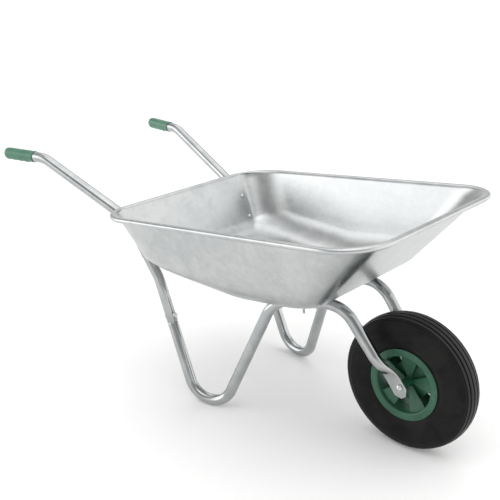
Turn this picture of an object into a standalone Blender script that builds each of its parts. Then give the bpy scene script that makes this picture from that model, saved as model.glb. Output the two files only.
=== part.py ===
"""A garden wheelbarrow: pressed steel tray, four-tube frame, plastic grips and an air-filled wheel.

+X runs forward to the wheel, +Y to the left side and +Z up. The origin is on the ground under the
middle of the bounding box. Every length is in metres.
"""
import math

import bmesh
import bpy
from mathutils import Matrix, Vector

# ---------------------------------------------------------------- driving dimensions
WHEEL_RADIUS = 0.180
WHEEL_X = 0.540
AXLE_CENTRE = Vector((WHEEL_X, 0.0, WHEEL_RADIUS))
CLEARANCE = 0.0003

TUBE_RADIUS = 0.015
TUBE_WALL = 0.0015
TUBE_SIDES = 12
# a polygon this much larger than its circle encloses the same area
SAME_AREA = math.sqrt(2.0 * math.pi / (TUBE_SIDES * math.sin(2.0 * math.pi / TUBE_SIDES)))

SHEET = 0.0012
RIM_BACK = Vector((-0.2693, 0.0, 0.5123))
RIM_TILT = math.radians(6.9)
RIM_LENGTH = 0.862
RIM_HALF_WIDTH = 0.3243
BEAD_RADIUS = 0.0055
BEAD_CORNER_BACK = 0.108
BEAD_CORNER_FRONT = 0.118
LIP_WIDTH = 0.0146
LIP_ROUNDING = 0.012
BACK_SLOPE = 0.483
SIDE_SLOPE = 0.290
FRONT_SLOPE = 1.068
TRAY_DEPTH = 0.2065
DEPTH_FALL = -0.0187
CREASE_AT = 0.400
CREASE_HALF = 0.030
REAR_FLOOR_SLOPE = 0.183
# rounding from the back, side and front walls into the floor
FLOOR_ROUNDING = (0.052, 0.092, 0.092)
# tray corner arcs: (length along the side wall, length along the end wall)
BACK_CORNER_TOP = (0.120, 0.064)
BACK_CORNER_FLOOR = (0.125, 0.050)
FRONT_CORNER_TOP = (0.108, 0.108)
FRONT_CORNER_FLOOR = (0.060, 0.060)

# the lower tube's y follows from the splay of its plane, and its run follows the tray floor
FORK_BEND_X = 0.3850
LEG_TOP_BEND_X = 0.1980
FLOOR_BOLT_X = 0.2790
LEG_LINES_MEET = (0.0330, -0.1050)
SPLAY_AT_AXLE = 0.0740
SPLAY_ALONG = 0.2073
SPLAY_UP = -0.0973
SPLAY_HEIGHT = 0.2022
FORK_BEND_RADIUS = 0.085
LEG_TOP_RADIUS = 0.085
FOOT_RADIUS = 0.0675
# how far the foot bend is worn down to a flat
FOOT_WEAR = 0.0005

WALL_BEND_Z = 0.3300
WALL_BEND_Y = 0.2056
RIM_BEND_Z = 0.4815
RIM_BEND_Y = 0.2200
HANDLE_BEND = Vector((-0.5582, 0.2678, 0.6148))
GRIP_END = Vector((-0.7111, 0.2929, 0.6113))
WALL_BEND_RADIUS = 0.150
RIM_BEND_RADIUS = 0.085
HANDLE_BEND_RADIUS = 0.085

SLEEVE_END_Z = 0.2130
JOINT_BOLT_Z = 0.2290
WALL_BOLT_HEIGHTS = (("upper_wall", 0.4516), ("lower_wall", 0.3946))
INSERT_LENGTH = 0.060
INSERT_RADIUS = 0.0131

FORK_TIP_Y = 0.0508
TIP_HALF_WIDTH = 0.0207
TIP_START_HALF_WIDTH = 0.0166
TIP_HALF_THICKNESS = 0.0025
TIP_BEYOND_AXLE = 0.0270
TIP_OFFSET = 0.0060
# distances from the axle, back along the fork, over which its end bends inwards and is pressed flat
TIP_BEND_SPAN = (0.100, 0.012)
TIP_PRESS_SPAN = (0.074, 0.036)

GRIP_LENGTH = 0.1175
GRIP_RADIUS = 0.0167
GRIP_BORE = 0.0153
GRIP_CLOSED = 0.009
GRIP_SWELL = 0.0019
FINGER_COUNT = 4
FINGER_START = 0.0045
FINGER_PITCH = 0.0236

AXLE_RADIUS = 0.006
AXLE_BORE = AXLE_RADIUS + 0.0005
HUB_HALF_WIDTH = 0.0450
HUB_RADIUS = 0.0125
HUB_BORE = 0.0086
HUB_FLANGE_RADIUS = 0.0515
HUB_FLANGE_HEIGHT = 0.0038
BUSH_RADIUS = 0.0082
BUSH_FLANGE_RADIUS = 0.0100
BUSH_FACE = HUB_HALF_WIDTH + 0.0015
WASHER_RADIUS = 0.0088
LIP_RADIUS = 0.0955
LIP_FACE_Y = 0.0383
SPOKE_COUNT = 5
SPOKE_ANGLE = math.radians(36.0)
FIRST_SPOKE = math.radians(87.0)
VALVE_ANGLE = math.radians(51.0)

TYRE_HALF_WIDTH = 0.0395
WHEEL_STEPS = 36

SIDES = (("left", 1.0), ("right", -1.0))

# ---------------------------------------------------------------- scene and materials
for old_object in list(bpy.data.objects):
    bpy.data.objects.remove(old_object, do_unlink=True)

PARTS = bpy.data.collections.new("wheelbarrow")
CUTTERS = bpy.data.collections.new("wheelbarrow_cutters")
bpy.context.scene.collection.children.link(PARTS)
bpy.context.scene.collection.children.link(CUTTERS)


def material(name, colour, roughness, metallic):
    result = bpy.data.materials.new(name)
    result.use_nodes = True
    shader = result.node_tree.nodes["Principled BSDF"]
    shader.inputs["Base Color"].default_value = (*colour, 1.0)
    shader.inputs["Roughness"].default_value = roughness
    shader.inputs["Metallic"].default_value = metallic
    return result


GALVANISED_SHEET = material("galvanised_sheet", (0.62, 0.64, 0.65), 0.42, 1.0)
GALVANISED_TUBE = material("galvanised_tube", (0.66, 0.68, 0.69), 0.32, 1.0)
ZINC_FASTENER = material("zinc_fastener", (0.55, 0.57, 0.58), 0.30, 1.0)
GREEN_GRIP = material("green_grip", (0.07, 0.30, 0.16), 0.45, 0.0)
GREEN_RIM = material("green_rim", (0.04, 0.25, 0.14), 0.40, 0.0)
TYRE_RUBBER = material("tyre_rubber", (0.015, 0.015, 0.016), 0.65, 0.0)
TUBE_RUBBER = material("inner_tube_rubber", (0.03, 0.03, 0.03), 0.60, 0.0)
BUSH_NYLON = material("bush_nylon", (0.03, 0.03, 0.03), 0.50, 0.0)
VALVE_CAP = material("valve_cap_plastic", (0.02, 0.02, 0.02), 0.50, 0.0)


def add_object(name, mesh, look, collection=PARTS):
    new_object = bpy.data.objects.new(name, mesh)
    collection.objects.link(new_object)
    if look is not None:
        mesh.materials.append(look)
        mesh.shade_smooth()
        mesh.set_sharp_from_angle(angle=math.radians(35.0))
    return new_object


def add_cutter(name, mesh):
    cutter = add_object(name, mesh, None, CUTTERS)
    cutter.hide_render = True
    cutter.display_type = 'WIRE'
    return cutter


def boolean(target, other, operation):
    step = target.modifiers.new(operation.lower() + "_" + other.name, 'BOOLEAN')
    step.operation = operation
    step.object = other
    step.solver = 'EXACT'


def mesh_from(bm, name):
    mesh = bpy.data.meshes.new(name)
    bm.normal_update()
    bm.to_mesh(mesh)
    bm.free()
    return mesh


# ---------------------------------------------------------------- shape helpers
def rod_cutter(name, centre, direction, radius, half_length, sides=12):
    """A plain round rod centred on a point, used to drill a hole."""
    bm = bmesh.new()
    bmesh.ops.create_cone(bm, cap_ends=True, segments=sides, radius1=radius, radius2=radius,
                          depth=2.0 * half_length)
    turn = direction.to_track_quat('Z', 'Y').to_matrix().to_4x4()
    bm.transform(Matrix.Translation(centre) @ turn)
    return add_cutter(name, mesh_from(bm, name))


def turned(name, profile, steps, look, closed=True, collection=PARTS):
    """A closed (radius, height) outline turned about Z, with its outer side listed downwards."""
    mesh = bpy.data.meshes.new(name)
    points = [(radius, 0.0, height) for radius, height in profile]
    edges = [(i, i + 1) for i in range(len(points) - 1)]
    if closed:
        edges.append((len(points) - 1, 0))
    mesh.from_pydata(points, edges, [])
    turned_object = add_object(name, mesh, look, collection)
    screw = turned_object.modifiers.new("turn", 'SCREW')
    screw.axis = 'Z'
    screw.angle = 2.0 * math.pi
    screw.steps = steps
    screw.render_steps = steps
    screw.use_merge_vertices = True
    screw.merge_threshold = 0.00001
    return turned_object


def place(target, centre, direction, roll=0.0):
    """Puts an object's Z axis along a direction, at a point."""
    turn = direction.to_track_quat('Z', 'Y').to_matrix().to_4x4()
    target.matrix_world = Matrix.Translation(centre) @ turn @ Matrix.Rotation(roll, 4, 'Z')


def bridge(bm, rings, closed_loop=False):
    """Joins rings of equal length with quads; closed_loop also joins the last ring to the first."""
    count = len(rings[0])
    last = len(rings) if closed_loop else len(rings) - 1
    for index in range(last):
        here = rings[index]
        there = rings[(index + 1) % len(rings)]
        for k in range(count):
            bm.faces.new((here[k], here[(k + 1) % count], there[(k + 1) % count], there[k]))


def add_rings(bm, rings):
    return [[bm.verts.new(point) for point in ring] for ring in rings]


def fillet_path(corners, radii, degrees_per_step=16.0):
    """A polyline through corners whose inner ones are rounded with the given radii."""
    path = [corners[0].copy()]
    for before, corner, after, radius in zip(corners, corners[1:], corners[2:], radii):
        back = (before - corner).normalized()
        ahead = (after - corner).normalized()
        half = 0.5 * back.angle(ahead)
        centre = corner + (back + ahead).normalized() * (radius / math.sin(half))
        start = corner + back * (radius / math.tan(half)) - centre
        turn = math.pi - 2.0 * half
        steps = max(2, math.ceil(math.degrees(turn) / degrees_per_step))
        for index in range(steps + 1):
            angle = turn * index / steps
            path.append(centre + start * math.cos(angle) - back * radius * math.sin(angle))
    path.append(corners[-1].copy())
    return path


def tube_mesh(name, path, radius):
    """A solid round bar along a path: a bevelled curve made into a mesh with its caps welded."""
    curve = bpy.data.curves.new(name, 'CURVE')
    curve.dimensions = '3D'
    curve.twist_mode = 'Z_UP'
    curve.bevel_depth = radius * SAME_AREA
    curve.bevel_resolution = TUBE_SIDES // 2 - 2
    curve.use_fill_caps = True
    spline = curve.splines.new('POLY')
    spline.points.add(len(path) - 1)
    for point, location in zip(spline.points, path):
        point.co = (*location, 1.0)
        point.tilt = math.pi / TUBE_SIDES
    guide = bpy.data.objects.new(name, curve)
    bpy.context.scene.collection.objects.link(guide)
    depsgraph = bpy.context.evaluated_depsgraph_get()
    mesh = bpy.data.meshes.new_from_object(guide.evaluated_get(depsgraph))
    bpy.data.objects.remove(guide)
    bpy.data.curves.remove(curve)
    bm = bmesh.new()
    bm.from_mesh(mesh)
    bmesh.ops.remove_doubles(bm, verts=bm.verts, dist=0.00001)
    bmesh.ops.recalc_face_normals(bm, faces=bm.faces)
    bm.to_mesh(mesh)
    bm.free()
    return mesh


def path_frames(path):
    """Tangent, sideways and upright directions at each point, sideways staying near +Y."""
    frames = []
    for index, point in enumerate(path):
        before = path[max(index - 1, 0)]
        after = path[min(index + 1, len(path) - 1)]
        tangent = (after - before).normalized()
        sideways = Vector((0.0, 1.0, 0.0))
        sideways = (sideways - tangent * sideways.dot(tangent)).normalized()
        frames.append((point, tangent, sideways, tangent.cross(sideways)))
    return frames


def section_ring(frame, radius, half_width=None, half_thickness=None, flatness=0.0):
    """One ring of a tube: round, or pressed flat by a flatness between 0 and 1."""
    point, _, sideways, upright = frame
    ring = []
    for index in range(TUBE_SIDES):
        angle = 2.0 * math.pi * (index + 0.5) / TUBE_SIDES
        wide = math.cos(angle) * radius * SAME_AREA
        thick = math.sin(angle) * radius * SAME_AREA
        if flatness > 0.0:
            flat_wide = math.copysign(abs(math.cos(angle)) ** 0.8, math.cos(angle)) * half_width
            flat_thick = math.copysign(abs(math.sin(angle)) ** 0.12, math.sin(angle)) * half_thickness
            wide = wide * (1.0 - flatness) + flat_wide * flatness
            thick = thick * (1.0 - flatness) + flat_thick * flatness
        ring.append(point + upright * wide + sideways * thick)
    return ring


def smooth_step(value):
    value = min(1.0, max(0.0, value))
    return value * value * (3.0 - 2.0 * value)


# ---------------------------------------------------------------- frame geometry
RIM_FORWARD = Vector((math.cos(RIM_TILT), 0.0, math.sin(RIM_TILT)))
RIM_DOWN = Vector((math.sin(RIM_TILT), 0.0, -math.cos(RIM_TILT)))


def from_rim(forward, sideways, down):
    """A point given along, across and below the plane of the tray's rolled bead."""
    return RIM_BACK + RIM_FORWARD * forward + Vector((0.0, sideways, 0.0)) + RIM_DOWN * down


def splay(x, z):
    """Distance of the lower tube's plane from the middle plane."""
    return SPLAY_AT_AXLE + SPLAY_ALONG * (WHEEL_X - x) + SPLAY_UP * (z - SPLAY_HEIGHT)


def lower_point(x, z):
    return Vector((x, splay(x, z), z))


def on_line_at_height(first, second, z):
    share = (z - first.z) / (second.z - first.z)
    return first.lerp(second, share)


def back_wall_axis(z, y):
    """The tube axis where the handle tube lies along the outside of the tray's back wall."""
    slope_angle = math.atan(BACK_SLOPE) + RIM_TILT
    wall_top = from_rim(LIP_WIDTH, 0.0, 0.0)
    outward = Vector((-math.cos(slope_angle), 0.0, -math.sin(slope_angle)))
    start = wall_top + outward * (TUBE_RADIUS + CLEARANCE)
    return Vector((start.x + (start.z - z) * math.tan(slope_angle), y, z))


def floor_depth(forward):
    """Depth of the tray floor below the bead plane, with the rear floor rising from a crease."""
    depth = TRAY_DEPTH + DEPTH_FALL * (forward - 0.5)
    behind = CREASE_AT - forward
    if behind > CREASE_HALF:
        return depth - REAR_FLOOR_SLOPE * behind
    if behind > -CREASE_HALF:
        return depth - REAR_FLOOR_SLOPE * (behind + CREASE_HALF) ** 2 / (4.0 * CREASE_HALF)
    return depth


def floor_outer_height(x):
    """World height of the flat floor's underside above a place in front of the crease."""
    first = from_rim(0.5, 0.0, floor_depth(0.5))
    second = from_rim(0.6, 0.0, floor_depth(0.6))
    return first.z + (second.z - first.z) * (x - first.x) / (second.x - first.x)


def run_point(x):
    """Axis of the lower tube where it lies against the underside of the tray floor."""
    rise = floor_outer_height(1.0) - floor_outer_height(0.0)
    drop = (TUBE_RADIUS + CLEARANCE) * math.sqrt(1.0 + rise * rise)
    return lower_point(x, floor_outer_height(x) - drop)


WALL_BEND = back_wall_axis(WALL_BEND_Z, WALL_BEND_Y)
RIM_BEND = back_wall_axis(RIM_BEND_Z, RIM_BEND_Y)
FORK_BEND = run_point(FORK_BEND_X)
LEG_TOP_BEND = run_point(LEG_TOP_BEND_X)


# the two straight legs aim at one point below the ground, and a short level foot joins them
LEGS_MEET = lower_point(*LEG_LINES_MEET)
REAR_FOOT = on_line_at_height(LEGS_MEET, WALL_BEND, TUBE_RADIUS - FOOT_WEAR)
FRONT_FOOT = on_line_at_height(LEGS_MEET, LEG_TOP_BEND, TUBE_RADIUS - FOOT_WEAR)
SLEEVE_END = on_line_at_height(LEGS_MEET, WALL_BEND, SLEEVE_END_Z)
JOINT_UP = (WALL_BEND - LEGS_MEET).normalized()
GRIP_AXIS = (HANDLE_BEND - GRIP_END).normalized()


def mirrored(points, sign):
    return [Vector((point.x, point.y * sign, point.z)) for point in points]


def build_handle_tube(side, sign):
    """Open-ended tube from inside the grip to the sleeve over the leg tube."""
    end = GRIP_END + GRIP_AXIS * (GRIP_CLOSED + CLEARANCE)
    corners = [SLEEVE_END, WALL_BEND, RIM_BEND, HANDLE_BEND, end]
    radii = [WALL_BEND_RADIUS, RIM_BEND_RADIUS, HANDLE_BEND_RADIUS]
    path = mirrored(fillet_path(corners, radii), sign)
    name = "handle_tube_" + side
    tube = add_object(name, tube_mesh(name, path, TUBE_RADIUS), GALVANISED_TUBE)
    # the hollow runs out past both open ends
    path[0] += (path[0] - path[1]).normalized() * TUBE_RADIUS
    path[-1] += (path[-1] - path[-2]).normalized() * TUBE_RADIUS
    name = "handle_hollow_" + side
    boolean(tube, add_cutter(name, tube_mesh(name, path, TUBE_RADIUS - TUBE_WALL)), 'DIFFERENCE')
    return tube


def fork_tip_path():
    """Centre, flatness, half width and distance from the axle, from the straight fork to its end."""
    run = Vector((WHEEL_X - FORK_BEND.x, 0.0, WHEEL_RADIUS - FORK_BEND.z)).normalized()
    across = Vector((run.z, 0.0, -run.x))
    bend_from, bend_to = TIP_BEND_SPAN
    press_from, press_to = TIP_PRESS_SPAN
    stations = [bend_from, 0.087, press_from, 0.066, 0.058, 0.050, 0.043, press_to, 0.025, bend_to,
                -0.010, -0.020, -TIP_BEYOND_AXLE]
    result = []
    for station in stations:
        inwards = smooth_step((bend_from - station) / (bend_from - bend_to))
        flatness = smooth_step((press_from - station) / (press_from - press_to))
        spread = smooth_step((press_from - station) / (press_from - bend_to))
        half_width = TIP_START_HALF_WIDTH * (1.0 - spread) + TIP_HALF_WIDTH * spread
        point = AXLE_CENTRE - run * station
        plane_y = splay(point.x, point.z)
        point.y = plane_y * (1.0 - inwards) + FORK_TIP_Y * inwards
        result.append((point + across * (TIP_OFFSET * spread), flatness, half_width, station))
    return result


def build_leg_tube(side, sign):
    """Swaged top, leg, foot bend, run under the tray and fork, in one bent tube."""
    top = SLEEVE_END + JOINT_UP * INSERT_LENGTH
    shoulder_low = SLEEVE_END - JOINT_UP * 0.0045
    shoulder_high = SLEEVE_END - JOINT_UP * 0.0005
    tip = fork_tip_path()
    corners = [shoulder_low, REAR_FOOT, FRONT_FOOT, LEG_TOP_BEND, FORK_BEND, tip[0][0]]
    radii = [FOOT_RADIUS, FOOT_RADIUS, LEG_TOP_RADIUS, FORK_BEND_RADIUS]
    bent = fillet_path(corners, radii)[:-1]
    centres = [top, shoulder_high] + bent + [point for point, _, _, _ in tip]
    flatness = [0.0] * (len(bent) + 2) + [share for _, share, _, _ in tip]
    half_width = [TUBE_RADIUS] * (len(bent) + 2) + [width for _, _, width, _ in tip]
    distance = [1.0] * (len(bent) + 2) + [station for _, _, _, station in tip]
    frames = path_frames(mirrored(centres, sign))
    narrowing = {-0.010: 1.0, -0.020: 0.80, -TIP_BEYOND_AXLE: 0.42}
    bm = bmesh.new()
    outer_rings = []
    inner_rings = []
    for index, frame in enumerate(frames):
        radius = INSERT_RADIUS if index < 2 else TUBE_RADIUS
        width = half_width[index] * narrowing.get(distance[index], 1.0)
        outer_rings.append(section_ring(frame, radius, width, TIP_HALF_THICKNESS, flatness[index]))
        if flatness[index] < 0.45:
            inner_rings.append(section_ring(frame, radius - TUBE_WALL, width - TUBE_WALL,
                                            TIP_HALF_THICKNESS - TUBE_WALL, flatness[index]))
    outer = add_rings(bm, outer_rings)
    inner = add_rings(bm, inner_rings)
    bridge(bm, inner[::-1] + outer)
    bm.faces.new(outer[-1])
    bm.faces.new(inner[-1])
    bmesh.ops.recalc_face_normals(bm, faces=bm.faces)
    name = "leg_tube_" + side
    leg_tube = add_object(name, mesh_from(bm, name), GALVANISED_TUBE)
    ground = bmesh.new()
    bmesh.ops.create_cube(ground, size=0.2)
    middle = REAR_FOOT.lerp(FRONT_FOOT, 0.5)
    bmesh.ops.translate(ground, verts=ground.verts, vec=(middle.x, middle.y * sign, -0.1))
    name = "ground_under_foot_" + side
    boolean(leg_tube, add_cutter(name, mesh_from(ground, name)), 'DIFFERENCE')
    return leg_tube


def build_grip(side, sign):
    """Plastic sleeve with a closed domed end and four finger swells underneath."""
    # distance from the closed end, radius, share of the finger swell
    stations = [(0.0, 0.0070, 0.0), (0.0016, 0.0120, 0.0), (FINGER_START, 0.0154, 0.0)]
    for finger in range(FINGER_COUNT):
        low = FINGER_START + finger * FINGER_PITCH
        if finger > 0:
            stations.append((low, GRIP_RADIUS, 0.0))
        stations += [(low + FINGER_PITCH * 0.3, GRIP_RADIUS, 0.85),
                     (low + FINGER_PITCH * 0.7, GRIP_RADIUS, 0.85)]
    stations += [(FINGER_START + FINGER_COUNT * FINGER_PITCH, GRIP_RADIUS, 0.0),
                 (GRIP_LENGTH, GRIP_RADIUS, 0.0)]
    axis = Vector((GRIP_AXIS.x, GRIP_AXIS.y * sign, GRIP_AXIS.z))
    end = Vector((GRIP_END.x, GRIP_END.y * sign, GRIP_END.z))
    sideways = Vector((0.0, 1.0, 0.0))
    sideways = (sideways - axis * sideways.dot(axis)).normalized()
    upright = axis.cross(sideways)
    if upright.z < 0.0:
        upright = -upright

    def ring(distance, radius, share):
        points = []
        for index in range(TUBE_SIDES):
            angle = 2.0 * math.pi * (index + 0.5) / TUBE_SIDES
            under = max(0.0, -math.sin(angle)) ** 2
            reach = (radius + GRIP_SWELL * share * under) * SAME_AREA
            points.append(end + axis * distance + sideways * (math.cos(angle) * reach)
                          + upright * (math.sin(angle) * reach))
        return points

    bm = bmesh.new()
    outer = add_rings(bm, [ring(*station) for station in stations])
    bore = add_rings(bm, [ring(GRIP_LENGTH, GRIP_BORE, 0.0), ring(GRIP_CLOSED, GRIP_BORE, 0.0)])
    bridge(bm, outer + bore)
    bm.faces.new(outer[0])
    bm.faces.new(bore[-1])
    bmesh.ops.recalc_face_normals(bm, faces=bm.faces)
    name = "grip_" + side
    return add_object(name, mesh_from(bm, name), GREEN_GRIP)


# ---------------------------------------------------------------- tray
CORNER_STEPS = 6
SIDE_STATIONS = (CREASE_AT - CREASE_HALF, CREASE_AT, CREASE_AT + CREASE_HALF)


def side_weights():
    """How much each point of the half outline belongs to the back, side and front walls."""
    weights = [(1.0, 0.0, 0.0)]
    quarter = [0.5 * math.pi * k / CORNER_STEPS for k in range(CORNER_STEPS + 1)]
    weights += [(math.cos(a) ** 2, math.sin(a) ** 2, 0.0) for a in quarter]
    weights += [(0.0, 1.0, 0.0)] * len(SIDE_STATIONS)
    weights += [(0.0, math.cos(a) ** 2, math.sin(a) ** 2) for a in quarter]
    weights += [(0.0, 0.0, 1.0)]
    return weights


def half_outline(back, side, front, back_corner, front_corner):
    """Points (forward, sideways) of half a rounded rectangle, from back middle to front middle."""
    quarter = [0.5 * math.pi * k / CORNER_STEPS for k in range(CORNER_STEPS + 1)]
    along, across = back_corner
    points = [(back, 0.0)]
    points += [(back + along * (1.0 - math.cos(a)), side - across * (1.0 - math.sin(a))) for a in quarter]
    points += [(station, side) for station in SIDE_STATIONS]
    along, across = front_corner
    points += [(front - along * (1.0 - math.sin(a)), side - across * (1.0 - math.cos(a))) for a in quarter]
    points += [(front, 0.0)]
    return points


def blend(values, weights):
    return sum(value * weight for value, weight in zip(values, weights))


def mix_corner(first, second, share):
    return tuple(a * (1.0 - share) + b * share for a, b in zip(first, second))


def tray_rings():
    """Half outlines, as 3-D points, from the curled end of the bead down to the floor."""
    slopes = (BACK_SLOPE, SIDE_SLOPE, FRONT_SLOPE)
    angles = [math.atan(slope) for slope in slopes]
    weights = side_weights()
    bead_back = (BEAD_CORNER_BACK, BEAD_CORNER_BACK)
    bead_front = (BEAD_CORNER_FRONT, BEAD_CORNER_FRONT)
    rings = []

    def outline(insets, share):
        back_corner = mix_corner(bead_back, BACK_CORNER_TOP, share)
        front_corner = mix_corner(bead_front, FRONT_CORNER_TOP, share)
        if share == 0.0:
            back_corner = tuple(value - insets[0] for value in back_corner)
            front_corner = tuple(value - insets[2] for value in front_corner)
        return half_outline(insets[0], RIM_HALF_WIDTH - insets[1], RIM_LENGTH - insets[2],
                            back_corner, front_corner)

    for degrees in (-160, -125, -90, -55, -20, 15, 50, 90):
        outward = BEAD_RADIUS * math.cos(math.radians(degrees))
        height = BEAD_RADIUS * math.sin(math.radians(degrees))
        rings.append([from_rim(u, v, -height) for u, v in outline((-outward,) * 3, 0.0)])

    turns = [0.5 * math.pi - angle for angle in angles]
    arc_starts = [LIP_WIDTH - slope * BEAD_RADIUS - LIP_ROUNDING * math.tan(0.5 * turn)
                  for slope, turn in zip(slopes, turns)]
    for share in (0.0, 1.0 / 3.0, 2.0 / 3.0, 1.0):
        insets = [start + LIP_ROUNDING * math.sin(share * turn) for start, turn in zip(arc_starts, turns)]
        downs = [LIP_ROUNDING * (1.0 - math.cos(share * turn)) - BEAD_RADIUS for turn in turns]
        plan = outline(insets, max(share, 0.001))
        rings.append([from_rim(u, v, blend(downs, weight)) for (u, v), weight in zip(plan, weights)])

    tangents = [radius * math.tan(0.5 * turn) for radius, turn in zip(FLOOR_ROUNDING, turns)]
    rises = [tangent * math.cos(angle) for tangent, angle in zip(tangents, angles)]

    def wall_ring(down_share, sweep):
        ring = []
        spread = 1.0 - math.cos(sweep)
        for index, weight in enumerate(weights):
            rise = blend(rises, weight)
            down = 0.15
            for _ in range(8):
                insets = [LIP_WIDTH + slope * down + tangent * spread
                          for slope, tangent in zip(slopes, tangents)]
                fall = min(1.0, down / TRAY_DEPTH)
                plan = half_outline(insets[0], RIM_HALF_WIDTH - insets[1], RIM_LENGTH - insets[2],
                                    mix_corner(BACK_CORNER_TOP, BACK_CORNER_FLOOR, fall),
                                    mix_corner(FRONT_CORNER_TOP, FRONT_CORNER_FLOOR, fall))
                forward, sideways = plan[index]
                depth = floor_depth(forward)
                down = down_share * (depth - rise) + rise * math.sin(sweep)
            ring.append(from_rim(forward, sideways, down))
        return ring

    rings.append(wall_ring(0.5, 0.0))
    for step in range(6):
        rings.append(wall_ring(1.0, 0.5 * math.pi * step / 5))
    return rings


def build_tray():
    """Pressed sheet with a rolled bead: one open surface given its thickness inwards."""
    bm = bmesh.new()
    loops = []
    for half in tray_rings():
        mirror = [Vector((point.x, -point.y, point.z)) for point in half[-2:0:-1]]
        loops.append([bm.verts.new(point) for point in half + mirror])
    bridge(bm, loops)
    floor = loops[-1]
    half_count = len(side_weights())
    rear_last = CORNER_STEPS + 2
    total = len(floor)

    def pair(index):
        return floor[index], floor[(total - index) % total]

    bm.faces.new([floor[i] for i in range(rear_last + 1)] + [floor[total - i] for i in range(rear_last, 0, -1)])
    for index in range(rear_last, rear_last + 2):
        left, right = pair(index)
        next_left, next_right = pair(index + 1)
        bm.faces.new((right, left, next_left, next_right))
    front_first = rear_last + 2
    bm.faces.new([floor[i] for i in range(front_first, half_count)]
                 + [floor[i] for i in range(half_count, total - front_first + 1)])
    bmesh.ops.recalc_face_normals(bm, faces=bm.faces)
    if max(bm.faces, key=lambda face: face.calc_area()).normal.z > 0.0:
        bmesh.ops.reverse_faces(bm, faces=bm.faces)
    tray = add_object("tray", mesh_from(bm, "tray"), GALVANISED_SHEET)
    shell = tray.modifiers.new("sheet_thickness", 'SOLIDIFY')
    shell.thickness = SHEET
    shell.offset = -1.0
    shell.use_even_offset = True
    return tray


# ---------------------------------------------------------------- fasteners
def cup_bolt(name, seat, direction, shank_radius, length, head_radius, head_height):
    """A round-headed bolt whose head rests on a seat and whose shank runs along a direction."""
    profile = [(0.0, head_height), (head_radius * 0.62, head_height * 0.80), (head_radius, 0.0),
               (shank_radius, 0.0), (shank_radius, -length + 0.001),
               (shank_radius - 0.001, -length), (0.0, -length)]
    bolt = turned(name, profile, 10, ZINC_FASTENER, closed=False)
    place(bolt, seat, -direction)
    return bolt


def hex_nut(name, seat, direction, across_flats, bore_radius, height):
    """A hexagon nut standing on a seat."""
    corner = 0.5 * across_flats / math.cos(math.radians(30.0))
    bm = bmesh.new()
    bmesh.ops.create_cone(bm, cap_ends=True, segments=6, radius1=corner, radius2=corner, depth=height)
    bmesh.ops.translate(bm, verts=bm.verts, vec=(0.0, 0.0, 0.5 * height))
    nut = add_object(name, mesh_from(bm, name), ZINC_FASTENER)
    place(nut, seat, direction)
    boolean(nut, rod_cutter(name + "_bore", seat, direction, bore_radius, 2.0 * height), 'DIFFERENCE')


def bolt_and_nut(label, side, axis_point, outward, stack_inside, size, thread_end, drilled):
    """Fits one bolt through everything drilled, head inside and nut outside."""
    shank = 0.5 * size
    inner_seat = axis_point - outward * (stack_inside + CLEARANCE)
    outer_seat = axis_point + outward * (TUBE_RADIUS * SAME_AREA + 0.0001)
    nut_height = 0.8 * size
    length = (outer_seat - inner_seat).length + nut_height + thread_end
    head_radius = {0.006: 0.0067, 0.008: 0.0085}[size]
    cup_bolt(label + "_bolt_" + side, inner_seat, outward, shank, length, head_radius, 0.5 * size)
    hex_nut(label + "_nut_" + side, outer_seat, outward, {0.006: 0.010, 0.008: 0.013}[size],
            shank + CLEARANCE, nut_height)
    cutter = rod_cutter(label + "_hole_" + side, axis_point, outward, shank + 0.0004, 0.030)
    for target in drilled:
        boolean(target, cutter, 'DIFFERENCE')


def side_vector(vector, sign):
    return Vector((vector.x, vector.y * sign, vector.z))


def build_frame_side(side, sign, tray):
    """Tubes, grip and fasteners of one side."""
    handle_tube = build_handle_tube(side, sign)
    leg_tube = build_leg_tube(side, sign)
    build_grip(side, sign)

    slope_angle = math.atan(BACK_SLOPE) + RIM_TILT
    wall_outward = Vector((-math.cos(slope_angle), 0.0, -math.sin(slope_angle)))
    wall_stack = TUBE_RADIUS + CLEARANCE + SHEET
    for label, height in WALL_BOLT_HEIGHTS:
        point = side_vector(on_line_at_height(WALL_BEND, RIM_BEND, height), sign)
        bolt_and_nut(label, side, point, wall_outward, wall_stack, 0.006, 0.004, (handle_tube, tray))

    point = side_vector(run_point(FLOOR_BOLT_X), sign)
    bolt_and_nut("floor", side, point, RIM_DOWN, wall_stack, 0.006, 0.011, (leg_tube, tray))

    point = side_vector(on_line_at_height(LEGS_MEET, WALL_BEND, JOINT_BOLT_Z), sign)
    sleeve_up = side_vector(JOINT_UP, sign)
    forward = Vector((1.0, 0.0, 0.0))
    forward = (forward - sleeve_up * forward.dot(sleeve_up)).normalized()
    bolt_and_nut("sleeve", side, point, forward, TUBE_RADIUS, 0.008, 0.003, (handle_tube, leg_tube))

    hole = rod_cutter("axle_hole_" + side, AXLE_CENTRE + Vector((0.0, FORK_TIP_Y * sign, 0.0)),
                      Vector((0.0, 1.0, 0.0)), AXLE_RADIUS + 0.0005, 0.02, 16)
    boolean(leg_tube, hole, 'DIFFERENCE')


# ---------------------------------------------------------------- wheel
def wheel_place(target, flip=False):
    """Turns an object modelled about Z so that Z lies along +Y, or -Y when flipped."""
    angle = -0.5 * math.pi if not flip else 0.5 * math.pi
    target.matrix_world = Matrix.Translation(AXLE_CENTRE) @ Matrix.Rotation(angle, 4, 'X')


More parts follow.
